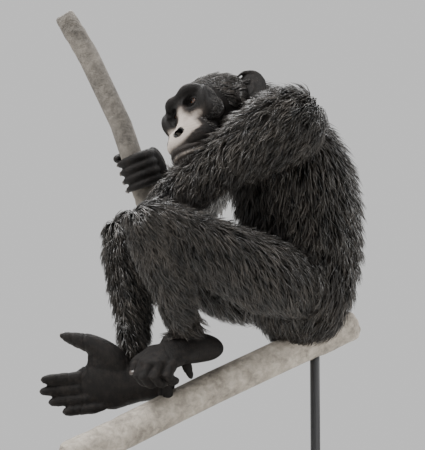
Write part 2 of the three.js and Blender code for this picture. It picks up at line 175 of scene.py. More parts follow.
def new_object(name, mesh, material, replaces=()):
    """Links a finished mesh as a piece of the animal, perch or stand, and hides the parts that it replaces."""
    piece = bpy.data.objects.new(name, mesh)
    bpy.context.scene.collection.objects.link(piece)
    piece.data.materials.append(material)
    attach(piece, BODY)
    if replaces:
        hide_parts(*replaces)


def head_matrix():
    """From the head's frame (x forward, y left, z up, millimetres) to the hips' frame."""
    pitch, roll, yaw = (math.radians(a) for a in HEAD_TURN)
    turn = Matrix.Rotation(yaw, 4, "Z") @ Matrix.Rotation(pitch, 4, "X") @ Matrix.Rotation(roll, 4, "Y")
    return Matrix.Translation(HEAD_AT) @ turn @ Matrix.Rotation(math.radians(-90), 4, "Z")


def frame_at(at, forward, up, size=1.0):
    """A place with X along forward, Z near up and a scale."""
    x = Vector(forward).normalized()
    y = Vector(up).cross(x).normalized()
    z = x.cross(y)
    place = (Matrix((x, y, z)).transposed() * size).to_4x4()
    place.translation = at
    return place


HEAD = head_matrix()
WORLD = Matrix.Translation(PELVIS) @ Matrix.Scale(MM, 4)


# Lofted and rounded forms, in millimetres
def spline(rows, t):
    """A point of the Catmull-Rom curve through rows, t from 0 to 1, and its slope."""
    rows = np.asarray(rows, float)
    spans = len(rows) - 1
    x = np.clip(t, 0, 1) * spans
    i = np.minimum(x.astype(int), spans - 1)
    w = (x - i)[:, None]
    before, here, there = rows[np.maximum(i - 1, 0)], rows[i], rows[i + 1]
    after = rows[np.minimum(i + 2, spans)]
    before = np.where((i == 0)[:, None], 2 * here - there, before)
    after = np.where((i == spans - 1)[:, None], 2 * there - here, after)
    a, b = (there - before) / 2, (after - here) / 2
    value = here + a * w + (3 * (there - here) - 2 * a - b) * w**2 + (2 * (here - there) + a + b) * w**3
    slope = a + 2 * (3 * (there - here) - 2 * a - b) * w + 3 * (2 * (here - there) + a + b) * w**2
    return value, slope


def unit(v):
    """Vectors of length 1 along the last axis."""
    return v / np.maximum(np.linalg.norm(v, axis=-1, keepdims=True), 1e-9)


def loft_surface(rows, side, t, angle, ring):
    """Points on a loft at shares t and angles, with ring 1 at full girth, and the way along it."""
    value, slope = spline(rows, t)
    tangent = unit(slope[:, :3])
    side = np.asarray(side, float)
    across = unit(side - tangent * (tangent @ side)[:, None])
    deep = np.cross(tangent, across)
    centre, size = value[:, :3], value[:, 3:5]
    reach = across * (np.cos(angle) * size[:, 0] * ring)[:, None]
    reach = reach + deep * (np.sin(angle) * size[:, 1] * ring)[:, None]
    return centre + reach, tangent


def add_loft(bm, rows, side, around, along, softness=0.7, place=None):
    """A rounded body along a line of sections (x, y, z, half width, half depth), from a moved sphere."""
    made = bmesh.ops.create_uvsphere(bm, u_segments=around, v_segments=along, radius=1.0)["verts"]
    co = np.array([v.co[:] for v in made])
    ring = np.hypot(co[:, 0], co[:, 1])
    t = (1 - np.sign(co[:, 2]) * np.abs(co[:, 2]) ** softness) / 2
    angle = np.arctan2(co[:, 1], co[:, 0])
    points, _ = loft_surface(rows, side, t, angle, ring**softness)
    for vertex, point in zip(made, points):
        vertex.co = place @ Vector(point) if place else Vector(point)


def add_egg(bm, at, radii, turn=(0, 0, 0), place=None):
    """An egg with its own radii, turned by degrees about X, Y and Z."""
    made = bmesh.ops.create_uvsphere(bm, u_segments=28, v_segments=18, radius=1.0)["verts"]
    matrix = Matrix.Translation(at) @ Euler([math.radians(a) for a in turn], "XYZ").to_matrix().to_4x4()
    matrix = matrix @ Matrix.Diagonal((*radii, 1))
    bmesh.ops.transform(bm, matrix=(place @ matrix) if place else matrix, verts=made)


def metre_mesh(bm, name):
    """Turns a bmesh in metres into a mesh, with its faces outwards, and frees it."""
    bmesh.ops.recalc_face_normals(bm, faces=bm.faces)
    mesh = bpy.data.meshes.new(name)
    bm.to_mesh(mesh)
    bm.free()
    return mesh


def mesh_of(bm, name):
    """Turns a bmesh in the animal's millimetres into a mesh in the world's metres."""
    mesh = metre_mesh(bm, name)
    mesh.transform(WORLD)
    return mesh


def applied(mesh, *modifiers):
    """The mesh after modifiers, each a type and its settings, applied in order."""
    holder = bpy.data.objects.new("holder", mesh)
    bpy.context.scene.collection.objects.link(holder)
    for kind, settings in modifiers:
        modifier = holder.modifiers.new(kind, kind)
        for key, value in settings.items():
            setattr(modifier, key, value)
    bpy.context.view_layer.update()
    graph = bpy.context.evaluated_depsgraph_get()
    result = bpy.data.meshes.new_from_object(holder.evaluated_get(graph))
    bpy.data.objects.remove(holder)
    return result


def blended(mesh, voxel_mm, smoothing):
    """The mesh's forms melted into one surface, with a voxel size and a number of smoothing passes."""
    return applied(
        mesh,
        ("REMESH", {"mode": "VOXEL", "voxel_size": voxel_mm * MM}),
        ("SMOOTH", {"factor": 0.5, "iterations": smoothing}),
    )


def cut_away(mesh, cutter_mesh):
    """The mesh without what lies inside the cutter."""
    cutter = bpy.data.objects.new("cutter", cutter_mesh)
    bpy.context.scene.collection.objects.link(cutter)
    settings = {"operation": "DIFFERENCE", "object": cutter, "solver": "EXACT", "use_self": True}
    result = applied(mesh, ("BOOLEAN", settings))
    bpy.data.objects.remove(cutter)
    return result


def joined_mesh(name, meshes):
    """Several meshes side by side in one."""
    bm = bmesh.new()
    for mesh in meshes:
        bm.from_mesh(mesh)
    joined = bpy.data.meshes.new(name)
    bm.to_mesh(joined)
    bm.free()
    return joined


def points_of(mesh):
    co = np.empty(len(mesh.vertices) * 3)
    mesh.vertices.foreach_get("co", co)
    return co.reshape(-1, 3)


def set_points(mesh, points):
    mesh.vertices.foreach_set("co", np.ascontiguousarray(points).ravel())
    mesh.update()


def normals_of(mesh):
    values = np.empty(len(mesh.vertices) * 3)
    mesh.vertices.foreach_get("normal", values)
    return values.reshape(-1, 3)


def shade_smooth(mesh):
    mesh.polygons.foreach_set("use_smooth", [True] * len(mesh.polygons))


# The fleshy forms under the coat: rows of sections and the line that their widths follow
NECK = ((0, 54, 314, 68, 62), (-1, 14, 338, 62, 60), (-3, -30, 345, 56, 56), (-4, -66, 345, 52, 54))
UPPER_ARM_LEFT = ((-0.2, 44), (-0.02, 56, 58), (0.25, 53), (0.6, 34), (0.9, 29), (1.06, 25))
UPPER_ARM_RIGHT = ((-0.25, 34), (-0.02, 47), (0.3, 43), (0.65, 35), (0.92, 31), (1.08, 25))
FOREARM_LEFT = ((-0.08, 24), (0.1, 31), (0.35, 33), (0.7, 25), (0.97, 22))
FOREARM_RIGHT = ((-0.1, 24), (0.12, 31), (0.4, 32), (0.75, 25), (0.98, 22))
THIGH = ((-0.2, 50, 56), (0.1, 62, 68), (0.4, 54, 58), (0.75, 44, 47), (0.97, 42, 43), (1.12, 30, 30))
SHIN = ((-0.08, 28, 28), (0.12, 36, 40), (0.38, 34, 38), (0.75, 24, 27), (0.97, 21, 24))
SHIN_RIGHT = (*SHIN[:-1], (1.16, 23, 25))
TRUNK = (
    (0, 84, -92, 62, 58),
    (0, 92, -50, 104, 84),
    (0, 100, 10, 112, 90),
    (0, 104, 80, 116, 92),
    (0, 100, 150, 124, 96),
    (0, 82, 220, 130, 98),
    (0, 50, 285, 120, 88),
    (0, 18, 335, 84, 66),
    (0, -8, 358, 52, 50),
)


def limb_rows(start, end, shares, bow=(0, 0, 0)):
    """Sections of a limb between two joints: each a share of the way, half width and half depth."""
    a, b = np.array(JOINT[start], float), np.array(JOINT[end], float)
    rows = []
    for share in shares:
        t = share[0]
        at = a + (b - a) * t + np.array(bow, float) * 4 * t * (1 - t)
        rows.append((*at, share[1], share[-1]))
    return rows


ACROSS, UPWARD = (1, 0, 0), (0, 0, 1)
FORMS = {
    "trunk": (TRUNK, ACROSS),
    "neck": (NECK, ACROSS),
    "upper_arm_left": (limb_rows("shoulder_left", "elbow_left", UPPER_ARM_LEFT, (0, 0, 12)), UPWARD),
    "upper_arm_right": (limb_rows("shoulder_right", "elbow_right", UPPER_ARM_RIGHT), UPWARD),
    "forearm_left": (limb_rows("elbow_left", "wrist_left", FOREARM_LEFT), ACROSS),
    "forearm_right": (limb_rows("elbow_right", "wrist_right", FOREARM_RIGHT, (0, 0, -6)), UPWARD),
    "thigh_left": (limb_rows("hip_left", "knee_left", THIGH), ACROSS),
    "thigh_right": (limb_rows("hip_right", "knee_right", THIGH), ACROSS),
    "shin_left": (limb_rows("knee_left", "ankle_left", SHIN, (6, 8, 0)), ACROSS),
    "shin_right": (limb_rows("knee_right", "ankle_right", SHIN_RIGHT, (-4, 8, 0)), ACROSS),
}

# Head forms, in the head's frame
MOUTH_HALF = ((110, 39, -88), (123, 33, -89), (139, 18, -89))
MOUTH_LINE = (*MOUTH_HALF, (147, 0, -88), *((x, -y, z) for x, y, z in reversed(MOUTH_HALF)))
ORBIT_RIM = (
    (70, 58, 40, 9, 10),
    (80, 55, 30, 9, 11),
    (85, 53, 16, 9, 12),
    (85, 50, 2, 9, 12),
    (80, 46, -13, 10, 12),
    (68, 42, -26, 10, 10),
)
RIM_FORWARD = {1: -9.0, -1: 5.0}  # the right rim stands out, as it does on the face's far outline
NOSTRIL_AT = (133, 17, -49)
NOSTRIL_RADII = (15, 8.5, 11)
BROW_HALF = ((56, 57, 26, 8, 8), (75, 46, 42, 10, 9.5), (87, 26, 49, 10, 9.5))
BROW = (*BROW_HALF, (86, 0, 45, 9, 9.5), *((x, -y, z, a, b) for x, y, z, a, b in reversed(BROW_HALF)))
MUZZLE = (
    (30, 0, -38, 54, 46),
    (70, 0, -46, 46, 44),
    (104, 0, -56, 40, 34),
    (132, 0, -66, 32, 26),
    (150, 0, -70, 22, 18),
)
LOWER_JAW = (
    (14, 0, -62, 56, 30),
    (60, 0, -80, 46, 32),
    (100, 0, -92, 36, 28),
    (128, 0, -98, 26, 22),
    (142, 0, -98, 18, 16),
)
JAW_CORNER = ((-8, 56, -14, 16, 24), (4, 58, -52, 15, 24), (40, 50, -74, 14, 20), (80, 36, -92, 13, 18))
EAR_RIM = ((14, 10, -26), (2, 24, -34), (-4, 42, -22), (-4, 50, 4), (-2, 44, 28), (2, 26, 40), (10, 8, 34))
EAR_FOLD = ((-4, 10, -14, 3, 4), (-4, 27, -6, 3, 4), (-4, 30, 12, 3, 4), (-4, 22, 26, 2.5, 3))
NOSE = ((80, 0, 34, 12, 8), (88, 0, 8, 10, 8), (99, 0, -16, 13, 10), (116, 0, -34, 18, 12))


def on_side(rows, side, forward=0.0):
    """Rows of the left side as they are for side 1 and mirrored for side -1, moved forward."""
    return [(x + forward, y * side, *rest) for x, y, *rest in rows]


def eye_place(side, forward=0.0):
    """An eye's centre in the head's frame, moved forward."""
    return (EYE_AT[0] + forward, EYE_AT[1] * side, EYE_AT[2])


def add_ear(bm, side):
    """An ear: a thin cup, its root, a rolled rim, an inner fold and the knob before the opening."""
    place = (
        HEAD
        @ Matrix.Translation((-12, 70 * side, 20))
        @ Matrix.Rotation(math.radians(32 * side), 4, "Z")
        @ Matrix.Rotation(math.radians(-10), 4, "Y")
        @ Matrix.Rotation(math.radians(8 * side), 4, "X")
    )
    add_egg(bm, (-7, 22 * side, 2), (4.2, 27, 37), place=place)
    add_egg(bm, (-2, -2 * side, 0), (14, 16, 24), place=place)
    rim = [(*point, 3.4, 4.6) for point in on_side(EAR_RIM, side, -5)]
    add_loft(bm, rim, ACROSS, 14, 40, place=place)
    add_loft(bm, on_side(EAR_FOLD, side), ACROSS, 12, 24, place=place)
    add_egg(bm, (3, 4 * side, -10), (6, 6, 9), place=place)


def add_head_forms(bm):
    """Skull, face, brow, muzzle, jaws, nose, cheeks and the rims of the eye sockets."""
    add_egg(bm, (-12, 0, 30), (86, 70, 66), place=HEAD)
    add_egg(bm, (-20, 0, -8), (66, 58, 54), place=HEAD)
    add_egg(bm, (50, 0, 12), (46, 58, 54), place=HEAD)
    add_loft(bm, BROW, UPWARD, 16, 40, place=HEAD)
    add_loft(bm, MUZZLE, (0, 1, 0), 28, 24, LIMB_SOFTNESS, HEAD)
    add_loft(bm, LOWER_JAW, (0, 1, 0), 28, 24, LIMB_SOFTNESS, HEAD)
    add_loft(bm, NOSE, (0, 1, 0), 20, 20, place=HEAD)
    for side in SIDES.values():
        add_egg(bm, (58, 44 * side, -3), (28, 20, 26), (0, 0, -22 * side), HEAD)
        add_loft(bm, on_side(JAW_CORNER, side), (0, 1, 0), 18, 24, place=HEAD)
        add_egg(bm, (119, 18 * side, -40), (12, 9, 12), place=HEAD)
        add_loft(bm, on_side(ORBIT_RIM, side, RIM_FORWARD[side]), ACROSS, 16, 32, place=HEAD)
        add_egg(bm, (62 + RIM_FORWARD[side], 47 * side, 8), (17, 14, 34), place=HEAD)


def head_skin():
    """The head: forms blended into one surface, then sockets, lids, nostrils and the mouth."""
    bm = bmesh.new()
    add_head_forms(bm)
    forms = blended(mesh_of(bm, "head_forms"), 2.6, 9)
    bm = bmesh.new()
    for side in SIDES.values():
        add_egg(bm, eye_place(side, 20), (22, 17, 13), place=HEAD)
    groove = [(x + 5, y * 1.12, z, 1.5, 9) for x, y, z in MOUTH_LINE]
    add_loft(bm, groove, UPWARD, 14, 48, place=HEAD)
    carved = cut_away(forms, mesh_of(bm, "head_cuts"))
    bm = bmesh.new()
    for side in SIDES.values():
        lids = (EYE_RADIUS + 3.0, EYE_RADIUS + 3.6, EYE_RADIUS + 2.6)
        add_egg(bm, eye_place(side), lids, place=HEAD)
        add_ear(bm, side)
    for back, up in ((1, 5), (4, -5)):
        lip = [(x - back, y, z + up, 5, 4) for x, y, z in MOUTH_LINE]
        add_loft(bm, lip, UPWARD, 14, 48, place=HEAD)
    fused = blended(joined_mesh("head_fused", [carved, mesh_of(bm, "lids_and_ears")]), 1.7, 4)
    bm = bmesh.new()
    for side in SIDES.values():
        add_egg(bm, eye_place(side, 13), (13, 9.6, 4.4), (-8 * side, 0, 0), HEAD)
        nostril = (NOSTRIL_AT[0], NOSTRIL_AT[1] * side, NOSTRIL_AT[2])
        add_egg(bm, nostril, NOSTRIL_RADII, (30 * side, 0, 20 * side), HEAD)
        add_egg(bm, eye_place(side), (EYE_RADIUS + 0.5,) * 3, place=HEAD)
    opened = cut_away(fused, mesh_of(bm, "eye_openings"))
    wrinkle_head(opened)
    return opened


def in_frame(points, place):
    """World points in metres as millimetres in a frame of the animal."""
    m = np.array((WORLD @ place).inverted())
    return points @ m[:3, :3].T + m[:3, 3]


def wrinkle_head(mesh):
    """Ridges round the eyes, creases across the muzzle and short creases on the lips."""
    points, normals = points_of(mesh), normals_of(mesh)
    p = in_frame(points, HEAD)
    lift = np.zeros(len(p))
    for side in SIDES.values():
        away = p - np.array(eye_place(side, 6))
        distance = np.hypot(away[:, 1] * 0.85, away[:, 2] * 1.1)
        below = np.clip(0.35 - away[:, 2] / 22, 0, 1)
        band = np.exp(-(((distance - 23) / 8) ** 2)) * (p[:, 0] > 40)
        lift += 0.75 * band * below * np.sin(distance * 1.7 + 0.02 * away[:, 1] ** 2)
    muzzle = np.exp(-(((p[:, 2] + 42) / 20) ** 2)) * np.clip((p[:, 0] - 70) / 30, 0, 1)
    lift += 0.4 * muzzle * np.sin(p[:, 2] * 0.9 + 0.1 * np.abs(p[:, 1]) + 2 * np.sin(p[:, 0] * 0.12))
    lips = np.exp(-(((p[:, 2] + 80) / 9) ** 2)) * np.clip((p[:, 0] - 90) / 20, 0, 1)
    lift += 0.25 * lips * np.sin(np.arctan2(p[:, 1], p[:, 0] - 60) * 60)
    set_points(mesh, points + normals * (lift * MM)[:, None])


def digit(root, forward, palm, bones, bends, radii):
    """A finger or toe: bones end to end, each turned by its bend towards the palm or sole."""
    direction = Vector(forward).normalized()
    axis = direction.cross(Vector(palm)).normalized()
    point = Vector(root)
    rows = [(*point, radii[0], radii[0])]
    for i, length in enumerate(bones):
        direction = Matrix.Rotation(math.radians(bends[i]), 3, axis) @ direction
        radius = radii[i + 1]
        middle = point + direction * length / 2
        point = point + direction * length
        mean = (radius + radii[i]) / 2 - 0.6
        rows.append((*middle, mean, mean))
        rows.append((*point, radius, radius))
    return rows


FOOT_BODY = (
    (-64, -4, 22, 20, 17),
    (-40, -3, 27, 27, 25),
    (0, 2, 32, 34, 29),
    (40, 6, 28, 46, 24),
    (80, 5, 22, 42, 18),
    (112, -5, 17, 39, 12),
)
ANKLE_POST = ((0, 0, 34, 25, 30), (8, 0, 56, 25, 27), (17, 0, 78, 24, 26))
# Creases: place along the sole or palm, slant, bow and depth in mm
SOLE_CREASES = (
    (96, -0.15, 3, 1.3),
    (70, 0.35, 4, 0.9),
    (38, 0.5, 5, 0.8),
    (8, 0.25, 3, 0.7),
    (122, -0.2, 2, 0.8),
    (140, -0.2, 2, 0.7),
)
PALM_CREASES = ((88, -0.1, 3, 1.0), (56, 0.3, 4, 0.9), (24, 0.4, 3, 0.7), (112, 0, 1, 0.8))
TOE_ROOTS = ((98, 24, 16), (98, 4, 16), (92, -16, 15), (83, -35, 14))
TOE_SIZES = (1, 1.04, 0.96, 0.82)
TOE_BONES = (32, 30, 20, 16)
OPEN_HALLUX = (
    (14, 20, 24, 26, 26),
    (44, 52, 26, 25, 25),
    (72, 76, 24, 18, 18),
    (98, 87, 22, 14.5, 14.5),
    (126, 98, 20, 12, 12),
)
# Each foot's place, and the side that its rows are mirrored to: they are written for a right foot in a
# frame with X to the toes, Y to the big toe and Z to the instep
FEET = {
    "left": {
        "place": frame_at((26, -146, -156), (0.27, -0.94, -0.17), (0.2, -0.15, 0.97), 1.05),
        "toe_bend": (55, 85, 35),
        "hallux_turn": 30,
        "hallux_bend": (25, 35),
        "side": -1,
    },
    "right": {
        "place": frame_at((-18, -246, -196), (-0.42, -0.9, -0.09), (-0.897, 0.418, 0.139), 1.12),
        "toe_bend": (6, 10, 8),
        "hallux_line": OPEN_HALLUX,
        "side": 1,
    },
}


def toe_rows(foot, index):
    """One of the four toes, from inside the foot to its tip."""
    x, y, z = TOE_ROOTS[index]
    bones = [bone * TOE_SIZES[index] for bone in TOE_BONES]
    forward = (1, 0.02 * (1.5 - index), 0)
    rows = digit((x - 30, y * 0.9, z + 1), forward, (0, 0, -1), bones, (0, *foot["toe_bend"]), (8, 11, 10, 9.5, 9))
    return on_side(rows, foot["side"])


def hallux_rows(foot):
    """The big toe: wide open along its own line, or bent round from the foot's side."""
    if "hallux_line" in foot:
        return on_side(foot["hallux_line"], foot["side"])
    a = math.radians(foot["hallux_turn"])
    rows = digit(
        (28, 20, 22),
        (math.cos(a), math.sin(a), 0),
        (math.sin(a) * 0.5, -math.cos(a) * 0.5, -0.8),
        (38, 36, 28),
        (0, *foot["hallux_bend"]),
        (25, 21, 16, 13),
    )
    return on_side(rows, foot["side"])


def add_foot(bm, foot):
    """Sole and instep, the post up into the ankle, four toes, the big toe and its ball."""
    place, side = foot["place"], foot["side"]
    add_loft(bm, on_side(FOOT_BODY, side), (0, 1, 0), 28, 28, place=place)
    add_loft(bm, on_side(ANKLE_POST, side), (0, 1, 0), 24, 16, 0.5, place)
    for index in range(4):
        add_loft(bm, toe_rows(foot, index), (0, 1, 0), 16, 36, 0.55, place)
    add_loft(bm, hallux_rows(foot), UPWARD, 20, 28, 0.8, place)
    if "hallux_line" in foot:
        add_egg(bm, (50, 46, 23), (35, 30, 16), place=place)


LEFT_HAND = frame_at(JOINT["wrist_left"], (-0.05, -0.35, -0.93), (0.1, -0.93, 0.35))
PALM = ((0, 0, 0, 26, 19), (30, 2, 0, 33, 19), (65, 0, 1, 38, 17), (96, -2, 0, 35, 13))
FINGER_ROOTS = (27, 9, -9, -26)
FINGER_SIZES = (0.94, 1, 0.96, 0.8)
FINGER_BONES = (28, 56, 40, 26)
FINGER_BEND = (0, 28, 62, 46)


def finger_rows(index):
    """A finger of the left hand, bent down over the bough."""
    y = FINGER_ROOTS[index]
    bones = [bone * FINGER_SIZES[index] for bone in FINGER_BONES]
    return digit((64, y * 0.9, 1), (1, y * 0.002, 0), (0, 0, -1), bones, FINGER_BEND, (9, 11.5, 10.5, 9.5, 8))


def add_left_hand(bm):
    """Palm, four fingers and the thumb of the hand that rests on the bough."""
    add_loft(bm, PALM, (0, 1, 0), 24, 20, place=LEFT_HAND)
    for index in range(4):
        add_loft(bm, finger_rows(index), (0, 1, 0), 16, 40, 0.8, LEFT_HAND)
    thumb = digit((16, 20, -6), (0.8, 0.55, -0.2), (0.2, -0.4, -0.9), (40, 26, 22), (0, 15, 20), (15, 12, 10, 9))
    add_loft(bm, thumb, UPWARD, 18, 28, 0.8, LEFT_HAND)


STEM_AXIS = (Vector(STEM[2]) - Vector(STEM[0])).normalized()
GRIP = Vector(STEM[1]) + Vector((0, 0, 10))
GRIP_HEIGHTS = (-27, -9, 9, 27)
GRIP_ANGLES = (-35, -62, -95, -130, -165, -200, -235)


def around_stem(angle, height, radius):
    """A point round the stem: degrees from the wrist's side, height above the grip, and distance."""
    towards = Vector(JOINT["wrist_right"]) - GRIP
    towards = (towards - STEM_AXIS * towards.dot(STEM_AXIS)).normalized()
    return GRIP + STEM_AXIS * height + (Matrix.Rotation(math.radians(angle), 3, STEM_AXIS) @ towards) * radius


def gripping_finger(index):
    """A finger of the right hand, wrapped round the stem and thinner towards its tip."""
    rows = []
    for k, angle in enumerate(GRIP_ANGLES):
        r = 12 - k * 0.55 - (1 if index == 0 else 0)
        rows.append((*around_stem(angle, GRIP_HEIGHTS[index] + 5 - k, STEM_RADIUS + 11.5 - k * 0.25), r, r))
    return rows


def gripping_thumb():
    """The right thumb, round the stem the other way and above the fingers."""
    wrist = Vector(JOINT["wrist_right"])
    rows = [(*wrist.lerp(around_stem(20, 30, 44), 0.5), 16, 16)]
    for angle, height, radius, r in ((25, 32, 42, 15), (62, 40, 38, 12), (98, 42, 35, 10.5), (125, 42, 34, 9.5)):
        rows.append((*around_stem(angle, height, radius), r, r))
    return rows


def add_right_hand(bm):
    """Palm, four fingers and the thumb of the hand round the stem."""
    wrist = Vector(JOINT["wrist_right"])
    palm = (
        (*wrist, 27, 22),
        (*wrist.lerp(around_stem(-20, 2, 48), 0.55), 30, 21),
        (*around_stem(-34, 6, 45), 38, 19),
        (*around_stem(-62, 6, 42), 40, 15),
    )
    add_loft(bm, palm, STEM_AXIS, 24, 20)
    for index in range(4):
        add_loft(bm, gripping_finger(index), STEM_AXIS, 16, 40, 0.8)
    add_loft(bm, gripping_thumb(), STEM_AXIS, 18, 28, 0.8)


def bare_piece(build, name, place, creases):
    """A hand or foot: its forms blended, with creases across the palm or sole and the joints."""
    bm = bmesh.new()
    build(bm)
    mesh = blended(mesh_of(bm, name), 2.3, 3)
    points, normals = points_of(mesh), normals_of(mesh)
    p = in_frame(points, place)
    depth = np.zeros(len(p))
    for x, tilt, bow, deep in creases:
        line = p[:, 0] - x - tilt * p[:, 1] - bow * np.sin(p[:, 1] * 0.09)
        depth += deep * np.exp(-((line / 1.6) ** 2))
    depth += 0.22 * (1 + np.sin(p[:, 0] * 1.3 + 2.5 * np.sin(p[:, 1] * 0.11) + 1.5 * np.sin(p[:, 2] * 0.13)))
    set_points(mesh, points - normals * (depth * MM)[:, None])
    return mesh


def body_skin():
    """Trunk, neck and limbs in one skin, plain because the coat covers it."""
    bm = bmesh.new()
    for rows, side in FORMS.values():
        add_loft(bm, rows, side, 28, 28, LIMB_SOFTNESS)
    return blended(mesh_of(bm, "body_forms"), 7, 5)


def pale_skin_and_painted_light(p):
    """The face's paleness and its painted light, in head-frame millimetres: muzzle and nose paler, with painted shade
    under the muzzle and in the eye sockets and nostrils, and painted highlights along the brow's top and the lower
    lip; the brow is dark below its highlight.
    """
    x, y, z = p[:, 0], np.abs(p[:, 1]), p[:, 2]
    # Painted shade: below this line the muzzle's underside and lower sides keep only a little of their paleness.
    shade_line = -80 + 27 * (y / 39) ** 4
    front = np.clip((x - 84) / 18, 0, 1) * np.clip((6 - z) / 22, 0, 1)
    muzzle = front * np.clip((z - shade_line) / 9, 0.12, 1)
    # Painted highlight: a thin pale line along the top of the lower lip.
    lower_lip_highlight = 0.45 * np.clip((x - 104) / 10, 0, 1) * np.exp(-(((z + 95) / 3) ** 2))
    bridge = np.exp(-((y / 15) ** 2)) * np.clip((x - 74) / 12, 0, 1) * np.clip((30 - z) / 18, 0, 1) * (z > -60)
    under_eye = 0.75 * np.exp(-(((z + 10) / 9) ** 2)) * np.exp(-(((y - 32) / 15) ** 2)) * (x > 55)
    # Painted highlight: a pale band along the top of the brow ridge.
    brow = 0.5 * np.exp(-(((z - 61) / 6) ** 2)) * np.clip((x - 60) / 15, 0, 1)
    # Painted shade: the eye sockets darkened towards black.
    socket = 0.5 * np.exp(-(((z - 20) / 17) ** 2) - ((y - 34) / 24) ** 2) * (x > 40)
    # Painted shade: the nostrils and their edges painted black.
    inside = np.linalg.norm((np.stack((x, y, z), 1) - NOSTRIL_AT) / NOSTRIL_RADII, axis=1)
    nostril = 1 - np.clip((inside - 1.08) / 0.15, 0, 1)
    face = np.linalg.norm(p - np.array((90, 0, -30)), axis=1) < 110
    share = np.clip(muzzle + lower_lip_highlight + bridge + under_eye + brow, 0, 1) - socket
    return (share * (1 - nostril) - nostril) * face


def set_float(mesh, name, values):
    """Stores one number for each vertex, for a material to read."""
    attribute = mesh.attributes.new(name, "FLOAT", "POINT")
    attribute.data.foreach_set("value", np.ascontiguousarray(values, dtype=np.float32))


# Materials
def skin_material(colours):
    """Bare ape skin: leathery, finely creased, dark with a paler muzzle, with painted shade and painted highlights on
    the face. A broken satin gloss.
    """
    material, tree, output = new_material("ape_skin")
    place = add_node(tree, "ShaderNodeTexCoord").outputs["Object"]
    # The face's own paleness together with its painted shade and painted highlights, read from the skin.
    pale_and_painted_light = add_node(tree, "ShaderNodeAttribute", {"attribute_name": "pale_and_painted_light"}).outputs["Fac"]
    mottle = add_node(tree, "ShaderNodeTexNoise", Vector=place, Scale=90.0, Detail=6.0, Roughness=0.65).outputs["Fac"]
    shifted = math_node(tree, "MULTIPLY_ADD", mottle, 0.6, -0.27)
    share = math_node(tree, "ADD", pale_and_painted_light, shifted, clamp=True)
    # The near-black end holds the painted shade of the eye sockets and nostrils, and the darkest mottle.
    ramp = two_tone(tree, share, "#0F0D0C", colours.skin_pale, high=0.95)
    ramp.color_ramp.elements.new(0.28).color = linear(colours.skin_dark)
    creases = add_node(tree, "ShaderNodeTexVoronoi", {"feature": "DISTANCE_TO_EDGE"}, Vector=place, Scale=330.0)
    fine = add_node(tree, "ShaderNodeTexNoise", Vector=place, Scale=700.0, Detail=4.0).outputs["Fac"]
    height = math_node(tree, "MULTIPLY_ADD", creases.outputs["Distance"], 1.6, fine)
    bump = add_node(tree, "ShaderNodeBump", Strength=0.55, Distance=0.0014, Height=height).outputs["Normal"]
    rough = add_node(tree, "ShaderNodeMapRange", Value=mottle, To_Min=0.6, To_Max=0.82).outputs["Result"]
    finish_material(tree, output, ramp.outputs["Color"], rough, bump, Specular_IOR_Level=0.15)
    return material


def hair_material(colours):
    """Ape hair: near black, coarse and straight. A narrow sheen along each lock."""
    material, tree, output = new_material("ape_hair")
    place = add_node(tree, "ShaderNodeTexCoord").outputs["Object"]
    lock = add_node(tree, "ShaderNodeAttribute", {"attribute_name": "lock"}).outputs["Fac"]
    wide = add_node(tree, "ShaderNodeTexNoise", Vector=place, Scale=18.0, Detail=3.0).outputs["Fac"]
    ramp = two_tone(tree, math_node(tree, "MULTIPLY", lock, wide), colours.hair_dark, colours.hair_light, 0.05, 0.75)
    rough = add_node(tree, "ShaderNodeMapRange", Value=lock, To_Min=0.32, To_Max=0.5).outputs["Result"]
    finish_material(tree, output, ramp.outputs["Color"], rough)
    return material


def eye_material(colours):
    """Glass eye: brown iris in a dark white, under a wet clear cornea."""
    material, tree, output = new_material("glass_eye")
    share = add_node(tree, "ShaderNodeAttribute", {"attribute_name": "gaze"}).outputs["Fac"]
    ramp = add_node(tree, "ShaderNodeValToRGB", Fac=share)
    stops = (
        (0.0, colours.eye_white),
        (0.52, colours.eye_white),
        (0.56, "#120A06"),
        (0.62, colours.iris),
        (0.8, colours.iris),
        (0.84, "#020202"),
    )
    elements = ramp.color_ramp.elements
    while len(elements) < len(stops):
        elements.new(0.5)
    for element, (position, colour) in zip(elements, stops):
        element.position = position
        element.color = linear(colour)
    finish_material(tree, output, ramp.outputs["Color"], 0.06, Coat_Weight=1.0, Coat_Roughness=0.03)
    return material


def nail_material():
    """Keratin nail: dark, hard and smooth, with fine lines along it."""
    material, tree, output = new_material("keratin_nail")
    place = add_node(tree, "ShaderNodeTexCoord").outputs["Object"]
    grain = add_node(tree, "ShaderNodeTexNoise", Vector=place, Scale=400.0, Detail=3.0).outputs["Fac"]
    ramp = two_tone(tree, grain, "#1B1715", "#4A423C")
    bump = add_node(tree, "ShaderNodeBump", Strength=0.2, Distance=0.0004, Height=grain).outputs["Normal"]
    finish_material(tree, output, ramp.outputs["Color"], 0.32, bump)
    return material


def bark_material(name, dark, light, scale):
    """Bark: dry corky ridges and grey patches of lichen. Matt all over."""
    material, tree, output = new_material(name)
    place = add_node(tree, "ShaderNodeTexCoord").outputs["Object"]
    noise = partial(add_node, tree, "ShaderNodeTexNoise", Vector=place)
    patches = noise(Scale=scale * 0.25, Detail=8.0, Roughness=0.7).outputs["Fac"]
    ridges = noise(Scale=scale, Detail=10.0, Roughness=0.75, Distortion=0.6).outputs["Fac"]
    edges = {"feature": "DISTANCE_TO_EDGE"}
    cracks = add_node(tree, "ShaderNodeTexVoronoi", edges, Vector=place, Scale=scale * 0.8).outputs["Distance"]
    mixed = math_node(tree, "MULTIPLY_ADD", patches, 0.7, -0.1)
    total = math_node(tree, "MULTIPLY_ADD", ridges, 0.6, mixed, clamp=True)
    ramp = two_tone(tree, total, dark, light, 0.3, 0.72)
    height = math_node(tree, "MULTIPLY_ADD", cracks, 0.8, ridges)
    bump = add_node(tree, "ShaderNodeBump", Strength=0.7, Distance=0.004, Height=height).outputs["Normal"]
    finish_material(tree, output, ramp.outputs["Color"], 0.85, bump)
    return material


